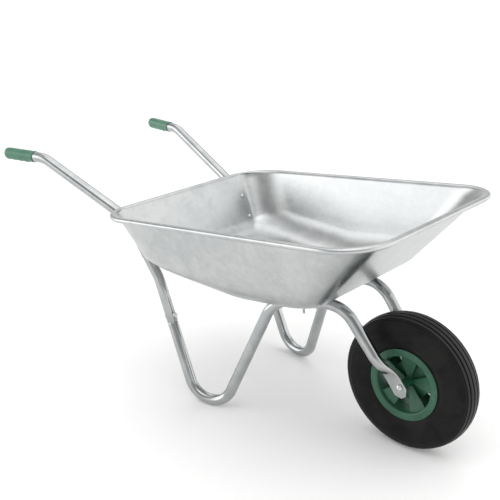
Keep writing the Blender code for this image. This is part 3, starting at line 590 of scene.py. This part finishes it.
def square_to(tangent, direction):
    return (direction - tangent * direction.dot(tangent)).normalized()


def path_frames(path):
    """For each point of a path: the point and the two directions square to the path there."""
    frames = []
    for index, point in enumerate(path):
        before = path[max(index - 1, 0)]
        after = path[min(index + 1, len(path) - 1)]
        tangent = (after - before).normalized()
        sideways = square_to(tangent, Vector((0.0, 1.0, 0.0)))
        frames.append((point, sideways, tangent.cross(sideways)))
    return frames


def path_distances(path):
    distances = [0.0]
    for before, after in zip(path, path[1:]):
        distances.append(distances[-1] + (after - before).length)
    return distances


def flat_outline(angle, half_width, half_thickness):
    """A point of a pressed tube end: two flat faces joined by half-round edges."""
    across = math.cos(angle)
    wide = (half_width - half_thickness) * max(-1.0, min(1.0, across * 1.12))
    bulge = 1.0
    if abs(across) > FLAT_SHARE:
        into_edge = (abs(across) - FLAT_SHARE) / (1.0 - FLAT_SHARE)
        bulge = math.sqrt(max(0.0, 1.0 - into_edge ** 2))
        wide += math.copysign(half_thickness * into_edge, across)
    return wide, math.copysign(half_thickness * bulge, math.sin(angle))


def tube_ring(frame_here, radius, width=0.0, thickness=0.0, flatness=0.0):
    point, sideways, upright = frame_here
    ring = []
    for index in range(TUBE_SIDES):
        angle = 2.0 * math.pi * (index + 0.5) / TUBE_SIDES
        wide = math.cos(angle) * radius
        thick = math.sin(angle) * radius
        if flatness > 0.0:
            flat_wide, flat_thick = flat_outline(angle, width, thickness)
            wide += (flat_wide - wide) * flatness
            thick += (flat_thick - thick) * flatness
        ring.append(point + upright * wide + sideways * thick)
    return ring


def build_handle_tube(side, sign):
    end = GRIP_END + GRIP_AXIS * (GRIP_CLOSED + CLEARANCE)
    corners = [SLEEVE_END, WALL_BEND, RIM_BEND, HANDLE_BEND, end]
    path = fillet_path(corners, [WALL_BEND_RADIUS, RIM_BEND_RADIUS, HANDLE_BEND_RADIUS])
    # a small chamfer on the sawn lower end
    path.insert(1, path[0].lerp(path[1], 0.0006 / (path[1] - path[0]).length))
    frames = path_frames(mirrored(path, sign))
    distances = path_distances(path)
    outer = [tube_ring(frames[0], TUBE_RADIUS - 0.0005)]
    outer += [tube_ring(here, TUBE_RADIUS) for here in frames[1:]]
    inner = [tube_ring(here, TUBE_RADIUS - TUBE_WALL) for here in frames]
    bm = bmesh.new()
    loft(bm, outer + inner[::-1], 2 * math.pi * TUBE_RADIUS, distances + distances[::-1] + [0.0], True)
    outward(bm)
    add_piece("handle_tube", side, bm, "frame", "tube", 40.0)


def fork_tip_path():
    """Along the pressed end: centre, flatness, half width, and distance before the axle."""
    run = Vector((WHEEL_X - FORK_BEND.x, 0.0, WHEEL_RADIUS - FORK_BEND.z)).normalized()
    across = Vector((run.z, 0.0, -run.x))
    bend_from, bend_to = TIP_BEND_SPAN
    press_from, press_to = TIP_PRESS_SPAN
    stations = [bend_from + (bend_to - bend_from) * step / 36.0 for step in range(37)]
    stations += [0.0, -0.010, -0.0125, -0.0150, -0.0245, -0.0260, -0.0268, -TIP_BEYOND_AXLE]
    result = []
    for station in stations:
        inwards = smooth_step((bend_from - station) / (bend_from - bend_to))
        flatness = smooth_step((press_from - station) / (press_from - press_to))
        spread = smooth_step((press_from - station) / (press_from - bend_to))
        half_width = TIP_START_HALF_WIDTH * (1.0 - spread) + TIP_HALF_WIDTH * spread
        point = AXLE_CENTRE - run * station
        point.y = splay(point.x, point.z) * (1.0 - inwards) + FORK_TIP_Y * inwards
        result.append((point + across * (TIP_OFFSET * spread), flatness, half_width, station))
    return result


def build_leg_tube(side, sign):
    tip = fork_tip_path()
    corners = [SLEEVE_END - JOINT_UP * 0.0045, REAR_FOOT, FRONT_FOOT, LEG_TOP_BEND, FORK_BEND, tip[0][0]]
    bent = fillet_path(corners, [FOOT_RADIUS, FOOT_RADIUS, LEG_TOP_RADIUS, FORK_BEND_RADIUS])[:-1]
    # the swaged end inside the sleeve, as distance below its mouth and radius
    swage = ((-INSERT_LENGTH, INSERT_RADIUS), (0.0010, INSERT_RADIUS), (0.0018, INSERT_RADIUS + 0.0004),
             (0.0032, TUBE_RADIUS - 0.0004))
    # centre, radius, flatness, half width where flat, station
    rows = [(SLEEVE_END - JOINT_UP * below, radius, 0.0, TUBE_RADIUS, 1.0) for below, radius in swage]
    rows += [(point, TUBE_RADIUS, 0.0, TUBE_RADIUS, 1.0) for point in bent]
    rows += [(point, TUBE_RADIUS, flat, width, station) for point, flat, width, station in tip]
    # the plate's blunt point past the axle: share of its width at each station
    narrowing = {-0.0125: 0.965, -0.0150: 0.88, -0.0245: 0.50, -0.0260: 0.43, -0.0268: 0.385,
                 -TIP_BEYOND_AXLE: 0.36}
    centres = [row[0] for row in rows]
    frames = path_frames(mirrored(centres, sign))
    distances = path_distances(centres)
    outer, inner, inner_distances = [], [], []
    for here, (_, radius, flat, width, station), distance in zip(frames, rows, distances):
        width *= narrowing.get(station, 1.0)
        thickness = TIP_HALF_THICKNESS - (0.0004 if station == -TIP_BEYOND_AXLE else 0.0)
        ring = tube_ring(here, radius, width, thickness, flat)
        # the foot bend is worn flat where it meets the ground
        outer.append([Vector((point.x, point.y, max(point.z, 0.0))) for point in ring])
        if flat < 0.45:
            inner.append(tube_ring(here, radius - TUBE_WALL, width - TUBE_WALL, thickness, flat))
            inner_distances.append(distance)
    bm = bmesh.new()
    loops = loft(bm, inner[::-1] + outer, 2 * math.pi * TUBE_RADIUS, inner_distances[::-1] + distances)
    cap_ends(bm, loops)
    outward(bm)
    add_piece("leg_tube", side, bm, "frame", "tube", 40.0)


def grip_profile():
    """(distance from the closed end, radius) along the outside, round the mouth and into the bore."""
    dome = 0.0080
    outside = []
    for step in range(1, 13):
        angle = 0.5 * math.pi * step / 12
        outside.append((dome * (1.0 - math.cos(angle)), (GRIP_RADIUS - 0.0008) * math.sin(angle) ** 0.62))
    spacing = 0.0012
    count = int((GRIP_LENGTH - dome - 0.002) / spacing)
    for index in range(1, count + 1):
        distance = dome + spacing * index
        outside.append((distance, GRIP_RADIUS - 0.0008 * math.exp(-(distance - dome) / 0.004)))
    outside += [(GRIP_LENGTH - 0.0007, GRIP_RADIUS), (GRIP_LENGTH, GRIP_RADIUS - 0.0004)]
    mouth = [(GRIP_LENGTH, GRIP_BORE + 0.0006), (GRIP_LENGTH - 0.0006, GRIP_BORE + 0.0003),
             (GRIP_LENGTH - 0.0040, GRIP_BORE), (GRIP_CLOSED, GRIP_BORE)]
    return outside, mouth


def build_grip(side, sign):
    """Moulded grip: domed closed end, four finger swells underneath and an open mouth."""
    axis = side_vector(GRIP_AXIS, sign)
    end = side_vector(GRIP_END, sign)
    sideways = square_to(axis, Vector((0.0, 1.0, 0.0)))
    upright = axis.cross(sideways)
    if upright.z < 0.0:
        upright = -upright
    sides = 72

    def ring(distance, radius, fingers):
        phase = (distance - FINGER_START) / FINGER_PITCH
        swell = 0.0
        if fingers and 0.0 < phase < FINGER_COUNT:
            swell = GRIP_SWELL * (1.0 - (2.0 * (phase % 1.0) - 1.0) ** 2) ** 0.62
        points = []
        for index in range(sides):
            angle = 2.0 * math.pi * (index + 0.5) / sides
            under = smooth_step((-math.sin(angle) - 0.15) / 0.60)
            reach = radius + swell * under
            points.append(end + axis * distance + sideways * (math.cos(angle) * reach)
                          + upright * (math.sin(angle) * reach))
        return points

    outside, mouth = grip_profile()
    rings = [ring(distance, radius, True) for distance, radius in outside]
    rings += [ring(distance, radius, False) for distance, radius in mouth]
    distances = [distance for distance, _ in outside + mouth]
    bm = bmesh.new()
    loops = loft(bm, rings, 2 * math.pi * GRIP_RADIUS, distances)
    cap_ends(bm, loops)
    outward(bm)
    add_piece("grip", side, bm, "frame", "grip", 50.0)


# ---------------------------------------------------------------- tray
QUARTER_TURN = [0.5 * math.pi * k / 26 for k in range(27)]
# shares of the flat part of an end wall, from the middle out
END_STATIONS = [index / 10.0 for index in range(10)]
# divisions of the long side: even, and closer together over the floor crease
EVENLY = [0.02 * index for index in range(9, 36)]
SIDE_STATIONS = sorted([station for station in EVENLY if abs(station - CREASE_AT) > CREASE_HALF + 0.008]
                       + [CREASE_AT - CREASE_HALF + 0.005 * index for index in range(13)])


def outline_weights():
    """How much of the back, side and front wall each point of a half outline belongs to."""
    weights = [(1.0, 0.0, 0.0)] * len(END_STATIONS)
    weights += [(math.cos(a) ** 2, math.sin(a) ** 2, 0.0) for a in QUARTER_TURN]
    weights += [(0.0, 1.0, 0.0)] * len(SIDE_STATIONS)
    weights += [(0.0, math.cos(a) ** 2, math.sin(a) ** 2) for a in QUARTER_TURN]
    weights += [(0.0, 0.0, 1.0)] * len(END_STATIONS)
    return weights


def half_outline(back, side, front, back_corner, front_corner):
    """The outline at one level from the middle of the back, round one side, to the middle of the front."""
    along, across = back_corner
    side_from, side_to = back + along, front - front_corner[0]
    points = [(back, (side - across) * share) for share in END_STATIONS]
    for a in QUARTER_TURN:
        points.append((back + along * (1.0 - math.cos(a)), side - across * (1.0 - math.sin(a))))
    for station in SIDE_STATIONS:
        lowest = side_from + 0.001 + 0.002 * (station - SIDE_STATIONS[0])
        highest = side_to - 0.001 - 0.002 * (SIDE_STATIONS[-1] - station)
        points.append((min(max(station, lowest), highest), side))
    along, across = front_corner
    for a in QUARTER_TURN:
        points.append((front - along * (1.0 - math.sin(a)), side - across * (1.0 - math.cos(a))))
    points += [(front, (side - across) * share) for share in reversed(END_STATIONS)]
    return points


def blend(values, weights):
    return sum(value * weight for value, weight in zip(values, weights))


def mix_corner(first, second, share):
    return tuple(a * (1.0 - share) + b * share for a, b in zip(first, second))


def tray_rings():
    """Half rings of the tray: round the bead, over the lip, down the walls and round onto the floor."""
    slopes = (BACK_SLOPE, SIDE_SLOPE, FRONT_SLOPE)
    angles = [math.atan(slope) for slope in slopes]
    weights = outline_weights()
    rings = []

    def outline(insets, share):
        back_corner = mix_corner(BEAD_CORNER_BACK, BACK_CORNER_TOP, share)
        front_corner = mix_corner(BEAD_CORNER_FRONT, FRONT_CORNER_TOP, share)
        if share == 0.0:
            back_corner = tuple(value - insets[0] for value in back_corner)
            front_corner = tuple(value - insets[2] for value in front_corner)
        return half_outline(insets[0], RIM_HALF_WIDTH - insets[1], RIM_LENGTH - insets[2],
                            back_corner, front_corner)

    for step in range(26):
        angle = math.radians(-160.0 + 10.0 * step)
        away = BEAD_RADIUS * math.cos(angle)
        height = BEAD_RADIUS * math.sin(angle)
        rings.append([from_rim(u, v, -height) for u, v in outline((-away,) * 3, 0.0)])

    turns = [0.5 * math.pi - angle for angle in angles]
    arc_starts = [LIP_WIDTH - slope * BEAD_RADIUS - LIP_ROUNDING * math.tan(0.5 * turn)
                  for slope, turn in zip(slopes, turns)]
    for step in range(9):
        share = step / 8.0
        insets = [start + LIP_ROUNDING * math.sin(share * turn) for start, turn in zip(arc_starts, turns)]
        downs = [LIP_ROUNDING * (1.0 - math.cos(share * turn)) - BEAD_RADIUS for turn in turns]
        plan = outline(insets, max(smooth_step(share), 0.001))
        rings.append([from_rim(u, v, blend(downs, weight)) for (u, v), weight in zip(plan, weights)])

    tangents = [radius * math.tan(0.5 * turn) for radius, turn in zip(FLOOR_ROUNDING, turns)]
    rises = [tangent * math.cos(angle) for tangent, angle in zip(tangents, angles)]

    def wall_ring(down_share, sweep):
        ring = []
        spread = 1.0 - math.cos(sweep)
        for index, weight in enumerate(weights):
            rise = blend(rises, weight)
            # the depth of a point moves its outline, so the two are found together
            down = 0.15
            for _ in range(7):
                insets = [LIP_WIDTH + slope * down + tangent * spread
                          for slope, tangent in zip(slopes, tangents)]
                fall = min(1.0, down / TRAY_DEPTH)
                plan = half_outline(insets[0], RIM_HALF_WIDTH - insets[1], RIM_LENGTH - insets[2],
                                    mix_corner(BACK_CORNER_TOP, BACK_CORNER_FLOOR, fall),
                                    mix_corner(FRONT_CORNER_TOP, FRONT_CORNER_FLOOR, fall))
                forward, sideways = plan[index]
                down = down_share * (floor_depth(forward) - rise) + rise * math.sin(sweep)
            ring.append(from_rim(forward, sideways, down))
        return ring

    rings += [wall_ring(step / 8.0, 0.0) for step in range(1, 8)]
    rings += [wall_ring(1.0, 0.5 * math.pi * step / 14) for step in range(15)]
    return rings


def build_tray():
    bm = bmesh.new()
    rings = []
    for half in tray_rings():
        rings.append(half + mirrored(half[-2:0:-1], -1.0))
    # rings shrinking towards the middle line carry the floor
    last = rings[-1]
    half_count = len(outline_weights())
    floor_rings = []
    for step in range(1, 8):
        share = 1.0 - step / 8.0
        ring = []
        for point in last:
            forward = (point - RIM_BACK).dot(RIM_FORWARD)
            forward = CREASE_AT + (forward - CREASE_AT) * (1.0 - 0.25 * (1.0 - share))
            ring.append(from_rim(forward, point.y * share, floor_depth(forward)))
        floor_rings.append(ring)
    loops = loft(bm, rings + floor_rings)
    closing = loops[-1]
    # the points of each straight end share one face with the first pair beyond them
    straight = len(END_STATIONS) + 1
    bm.faces.new([closing[index] for index in range(-straight, straight + 1)])
    bm.faces.new([closing[index] for index in range(half_count - 1 - straight, half_count + straight)])
    for index in range(straight, half_count - 1 - straight):
        bm.faces.new((closing[index], closing[index + 1], closing[-index - 1], closing[-index]))
    outward(bm)
    if max(bm.faces, key=lambda face: face.calc_area()).normal.z > 0.0:
        bmesh.ops.reverse_faces(bm, faces=bm.faces)
    tray = add_piece("tray", "", bm, "frame", "sheet", name="tray_pressing")
    shell = tray.modifiers.new("sheet_thickness", 'SOLIDIFY')
    shell.thickness = SHEET
    shell.offset = -1.0
    shell.use_even_offset = True


# ---------------------------------------------------------------- fasteners
HEAD_RADII = {0.006: 0.0067, 0.008: 0.0085}
ACROSS_FLATS = {0.006: 0.010, 0.008: 0.013}


def build_bolt(label, side, seat, direction, size, length):
    """Domed bolt head on its seat, with the plain shank and a rolled thread at the far end."""
    head_radius = HEAD_RADII[size]
    shank = 0.5 * size
    profile = [(0.0, shank)]
    for step in range(1, 9):
        angle = math.radians(90.0 - 11.25 * step)
        profile.append((head_radius * math.cos(angle) ** 0.8, shank * math.sin(angle)))
    profile += [(head_radius - 0.0002, -0.00015), (shank, -0.00015)]
    pitch = size / 6.0
    start = -length + 12 * pitch
    profile.append((shank, start))
    for index in range(24):
        profile.append((shank - (0.0005 if index % 2 == 0 else 0.0), start - pitch * 0.5 * (index + 1)))
    profile += [(shank - 0.0009, -length), (0.0, -length)]
    bm = revolve(profile, 32, closed=False)
    aim(bm, seat, -direction)
    add_piece(label + "_bolt", side, bm, "frame", "fastener", 50.0)


def build_nut(label, side, seat, direction, size, height):
    """Hexagon nut whose corners are cut by a cone at both faces."""
    sides = 72
    flat = 0.5 * ACROSS_FLATS[size]
    bore = 0.5 * size + 0.0001

    def ring(z, limit):
        points = []
        for index in range(sides):
            angle = 2.0 * math.pi * index / sides
            local = (angle % math.radians(60.0)) - math.radians(30.0)
            points.append(polar(min(flat / math.cos(local), limit), angle, z))
        return points

    cut = 0.10 * height
    outside = [(0.0, flat * 0.96), (cut * 0.6, flat * 1.04), (cut * 1.3, flat * 1.10),
               (cut * 2.0, flat / math.cos(math.radians(30.0)))]
    inside = [(height, bore + 0.0004), (height - 0.0004, bore), (0.0004, bore), (0.0, bore + 0.0004)]
    rings = [ring(z, limit) for z, limit in outside]
    rings += [ring(height - z, limit) for z, limit in reversed(outside)]
    rings += [[polar(radius, 2.0 * math.pi * k / sides, z) for k in range(sides)] for z, radius in inside]
    bm = bmesh.new()
    loft(bm, rings, closed_loop=True)
    outward(bm)
    aim(bm, seat, direction)
    add_piece(label + "_nut", side, bm, "frame", "fastener", 30.0)


def bolt_and_nut(label, side, axis_point, away, stack_inside, size, thread_end):
    inner_seat = axis_point - away * (stack_inside + CLEARANCE)
    outer_seat = axis_point + away * (TUBE_RADIUS + 0.0001)
    nut_height = 0.8 * size
    length = (outer_seat - inner_seat).length + nut_height + thread_end
    build_bolt(label, side, inner_seat, away, size, length)
    build_nut(label, side, outer_seat, away, size, nut_height)


def build_fasteners(side, sign):
    wall_stack = TUBE_RADIUS + CLEARANCE + SHEET
    for label, height in WALL_BOLT_HEIGHTS:
        point = side_vector(on_line_at_height(WALL_BEND, RIM_BEND, height), sign)
        bolt_and_nut(label, side, point, WALL_AWAY, wall_stack, 0.006, 0.004)
    point = side_vector(run_point(FLOOR_BOLT_X), sign)
    bolt_and_nut("floor", side, point, RIM_DOWN, wall_stack, 0.006, 0.011)
    point = side_vector(on_line_at_height(LEGS_MEET, WALL_BEND, JOINT_BOLT_Z), sign)
    forward = square_to(side_vector(JOINT_UP, sign), Vector((1.0, 0.0, 0.0)))
    bolt_and_nut("sleeve", side, point, forward, TUBE_RADIUS, 0.008, 0.003)


# ---------------------------------------------------------------- wheel
# radius, height of the face and thickness of a spoke, from the hub out
SPOKE_STATIONS = ((0.0105, 0.0110, 0.0050), (0.0250, 0.0145, 0.0048), (0.0450, 0.0195, 0.0046),
                  (0.0620, 0.0236, 0.0045), (0.0795, 0.0275, 0.0045))


def build_tyre():
    side_profile = [(0.0870, 0.0265), (0.0872, 0.0315), (0.0925, 0.0329), (0.0962, 0.0341),
                    (0.0978, 0.0352), (0.1000, 0.0358), (0.1040, 0.0374), (0.1110, 0.0390),
                    (0.1180, TYRE_HALF_WIDTH), (0.1290, 0.0397), (0.1400, 0.0393), (0.1500, 0.0383),
                    (SHOULDER_RADIUS, SHOULDER_HALF_WIDTH)]
    lining = [(0.1000, 0.0295), (0.1180, 0.0345), (0.1400, 0.0343), (0.1590, 0.0305), (0.1705, 0.0200),
              (0.1735, 0.0)]

    def surface(height):
        """Radius of the ungrooved crown and shoulder at a height from the middle."""
        reach = abs(height)
        if reach < CROWN_HALF_WIDTH:
            return WHEEL_RADIUS - CROWN_FALL * (reach / CROWN_HALF_WIDTH) ** CROWN_CURVE
        share = (reach - CROWN_HALF_WIDTH) / (SHOULDER_HALF_WIDTH - CROWN_HALF_WIDTH)
        edge = WHEEL_RADIUS - CROWN_FALL
        return edge + (SHOULDER_RADIUS - edge) * (1.0 - (1.0 - share ** 1.3) ** 0.75)

    spacing = 0.00045
    # distance from the middle plane, half width and depth of each groove
    grooves = ((0.0075, 0.0020, 0.0048), (0.0200, 0.0020, 0.0048), (0.0290, 0.0015, 0.0034),
               (0.0355, 0.0009, 0.0013))
    crown = []
    for index in range(1, int(2 * SHOULDER_HALF_WIDTH / spacing) + 1):
        height = SHOULDER_HALF_WIDTH - spacing * index
        drop = 0.0
        for centre, half, depth in grooves:
            apart = abs(abs(height) - centre) / half
            if apart < 1.5:
                drop = max(drop, depth * (1.0 - smooth_step((apart - 0.45) / 0.85)))
        crown.append((surface(height) - drop, height))
    outer = side_profile + crown + [(radius, -height) for radius, height in reversed(side_profile[:-1])]
    inner = lining + [(radius, -height) for radius, height in reversed(lining[:-1])]
    bm = revolve(outer + inner[::-1], 180)
    onto_axle(bm)
    add_piece("tyre", "", bm, "wheel", "tyre", 60.0)


def spoke(bm, centre_angle):
    """One dished wedge with softened edges, modelled about Z with its face upward."""
    edge = 0.0009
    sweep = [centre_angle + SPOKE_ANGLE * (column / 18 - 0.5) for column in range(19)]
    rings = []
    for radius, face, thickness in SPOKE_STATIONS:
        drops = (thickness - edge, 0.5 * thickness, edge)
        ring = [polar(radius, sweep[0] - edge / radius, face - drop) for drop in drops]
        ring += [polar(radius, angle, face) for angle in sweep]
        ring += [polar(radius, sweep[-1] + edge / radius, face - drop) for drop in reversed(drops)]
        ring += [polar(radius, angle, face - thickness) for angle in reversed(sweep)]
        rings.append(ring)
    loops = loft(bm, rings)
    cap_ends(bm, loops)


def build_rim_half(side, sign):
    ring_profile = rounded([(0.0925, LIP_FACE_Y), (LIP_RADIUS, 0.0370), (LIP_RADIUS, 0.0345),
                            (0.0865, 0.0325), (0.0835, 0.0150), (0.0835, CLEARANCE),
                            (0.0745, CLEARANCE), (0.0755, 0.0355), (0.0790, LIP_FACE_Y)], 0.0014)
    bm = revolve(ring_profile)
    hub_profile = [(HUB_RADIUS - 0.0010, HUB_HALF_WIDTH), (HUB_RADIUS, HUB_FLANGE_HEIGHT),
                   (HUB_FLANGE_RADIUS, HUB_FLANGE_HEIGHT), (HUB_FLANGE_RADIUS, CLEARANCE),
                   (HUB_BORE, CLEARANCE), (HUB_BORE, HUB_HALF_WIDTH)]
    revolve(rounded(hub_profile, 0.0008), 64, bm=bm)
    for index in range(SPOKE_COUNT):
        turn = FIRST_SPOKE + 2.0 * math.pi * index / SPOKE_COUNT
        spoke(bm, -turn if sign > 0.0 else turn)
    outward(bm)
    onto_axle(bm, flip=sign < 0.0)
    add_piece("rim_half", side, bm, "wheel", "rim", 35.0, name="wheel_centre_smooth")


def build_valve():
    away = Vector((math.cos(VALVE_ANGLE), 0.0, math.sin(VALVE_ANGLE)))
    foot_at, stem_end, cap_end = 0.0935, 0.0600, 0.0540
    stem = [(0.0, 0.0), (0.0037, 0.0), (0.0037, -0.0180), (0.0026, -0.0195)]
    stem += [(0.0026 - (0.0003 if index % 2 else 0.0), -0.0200 - 0.0006 * index) for index in range(20)]
    stem += [(0.0, stem_end - foot_at)]
    bm = revolve(stem, 32, closed=False)
    aim(bm, AXLE_CENTRE + away * foot_at, away)
    add_piece("valve_stem", "", bm, "wheel", "inner_tube", 40.0)
    depth = stem_end - cap_end
    cap = [(0.0, 0.0), (0.0026, 0.0), (0.0034, 0.0006), (0.0038, 0.0016), (0.0038, depth + 0.0036),
           (0.0036, depth + 0.0040), (0.0030, depth + 0.0040), (0.0029, depth - CLEARANCE),
           (0.0, depth - CLEARANCE)]
    bm = revolve(cap, 36, closed=False)
    for vert in bm.verts:
        reach = math.hypot(vert.co.x, vert.co.y)
        if reach > 0.0035 and 0.001 < vert.co.z < depth + 0.0038:
            # every second line of points goes in, so that fingers can grip the cap
            flute = 1.0 - 0.05 * (round(math.atan2(vert.co.y, vert.co.x) * 36 / (2 * math.pi)) % 2)
            vert.co.x *= flute
            vert.co.y *= flute
    aim(bm, AXLE_CENTRE + away * cap_end, away)
    add_piece("valve_cap", "", bm, "wheel", "cap", 30.0)


def build_axle_nuts():
    plate_outer = FORK_TIP_Y + TIP_HALF_THICKNESS + CLEARANCE
    axle_end = plate_outer + 0.0048 + CLEARANCE
    bore = AXLE_RADIUS + 0.0005
    for side, sign in SIDES:
        profile = [(0.0, plate_outer + 0.0078)]
        for step in range(1, 13):
            angle = math.radians(90.0 - 7.0 * step)
            profile.append((0.0086 * math.cos(angle), plate_outer + 0.0008 + 0.0070 * math.sin(angle)))
        profile += [(0.0088, plate_outer + 0.0010), (0.0088, plate_outer), (bore, plate_outer),
                    (bore, axle_end), (0.0, axle_end)]
        bm = revolve(profile, 48, closed=False)
        onto_axle(bm, flip=sign < 0.0)
        add_piece("axle_nut", side, bm, "frame", "fastener", 40.0)


build_tray()
for side_name, side_sign in SIDES:
    build_handle_tube(side_name, side_sign)
    build_leg_tube(side_name, side_sign)
    build_grip(side_name, side_sign)
    build_fasteners(side_name, side_sign)
    build_rim_half(side_name, side_sign)
build_tyre()
build_valve()
build_axle_nuts()

# hidden solids that stay as they are imported from model.glb
for node_name, look_name in (("axle", "fastener"), ("axle_washer_left", "fastener"),
                             ("axle_washer_right", "fastener"), ("inner_tube", "inner_tube"),
                             ("bearing_bush_left", "bush"), ("bearing_bush_right", "bush")):
    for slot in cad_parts[node_name].material_slots:
        slot.material = LOOKS[look_name]


# ---------------------------------------------------------------- floor, light and camera
def build_floor():
    """A wide floor a hair below the feet."""
    bm = bmesh.new()
    bmesh.ops.create_grid(bm, x_segments=8, y_segments=8, size=60.0)
    mesh = bpy.data.meshes.new("studio_floor")
    bm.to_mesh(mesh)
    bm.free()
    mesh.materials.append(pale_floor())
    floor = bpy.data.objects.new("studio_floor", mesh)
    floor.location = (0.0, 0.0, -0.0004)
    bpy.context.scene.collection.objects.link(floor)


# brightness by height: 0 at the horizon, 1 straight up
SKY_LEVELS = ((0.00, 0.95), (0.15, 0.80), (0.32, 0.50), (0.50, 0.36), (0.66, 0.38), (0.82, 0.76),
              (1.00, 1.30))
# bright patches: direction, the cosines between which each one rises, and brightness
SKY_PATCHES = (((-0.78, -0.62, 0.08), 0.76, 0.96, 1.80),
               ((0.80, 0.60, 0.22), 0.50, 0.95, 1.00),
               ((-0.43, 0.48, 0.76), 0.82, 1.00, 1.10),
               ((0.15, -0.30, 1.00), 0.80, 1.00, 1.10))

CAMERA_AT = (1.4785, -1.7067, 1.2404)
CAMERA_TURN = 40.877
CAMERA_DOWN = 20.535
CAMERA_ROLL = 0.335
CAMERA_LENS = 61.546


def build_world():
    """Studio room of smooth bright patches over a bright horizon; past the floor it shows plain white."""
    world = bpy.data.worlds.new("studio")
    bpy.context.scene.world = world
    world.use_nodes = True
    sky = Nodes(world.node_tree, "Generated")
    background = sky.tree.nodes["Background"]
    background.inputs["Color"].default_value = (1.0, 1.0, 1.0, 1.0)
    by_height = sky.node("ShaderNodeValToRGB")
    sky.link(sky.separate(sky.place)["Z"], by_height.inputs["Fac"])
    ramp = by_height.color_ramp
    ramp.interpolation = 'B_SPLINE'
    for position, _ in SKY_LEVELS[1:-1]:
        ramp.elements.new(position)
    for element, (position, level) in zip(ramp.elements, SKY_LEVELS):
        element.position = position
        element.color = (level, level, level, 1.0)
    total = by_height.outputs["Color"]
    for axis, low, high, level in SKY_PATCHES:
        towards = sky.against('DOT_PRODUCT', Vector(axis).normalized())["Value"]
        total = sky.plus(total, sky.span(towards, low, high, 0.0, level))
    seen_directly = sky.node("ShaderNodeLightPath").outputs["Is Camera Ray"]
    total = sky.times(total, sky.maths('SUBTRACT', 1.0, seen_directly))
    sky.link(sky.plus(total, seen_directly), background.inputs["Strength"])


def build_camera():
    data = bpy.data.cameras.new("camera")
    data.sensor_width = 36.0
    data.lens = CAMERA_LENS
    data.clip_end = 200.0
    camera = bpy.data.objects.new("camera", data)
    turn = (Matrix.Rotation(math.radians(CAMERA_TURN), 4, 'Z')
            @ Matrix.Rotation(math.radians(90.0 - CAMERA_DOWN), 4, 'X')
            @ Matrix.Rotation(math.radians(CAMERA_ROLL), 4, 'Z'))
    camera.matrix_world = Matrix.Translation(CAMERA_AT) @ turn
    bpy.context.scene.collection.objects.link(camera)
    bpy.context.scene.camera = camera


build_floor()
build_world()
build_camera()
bpy.context.scene.view_settings.view_transform = 'Standard'
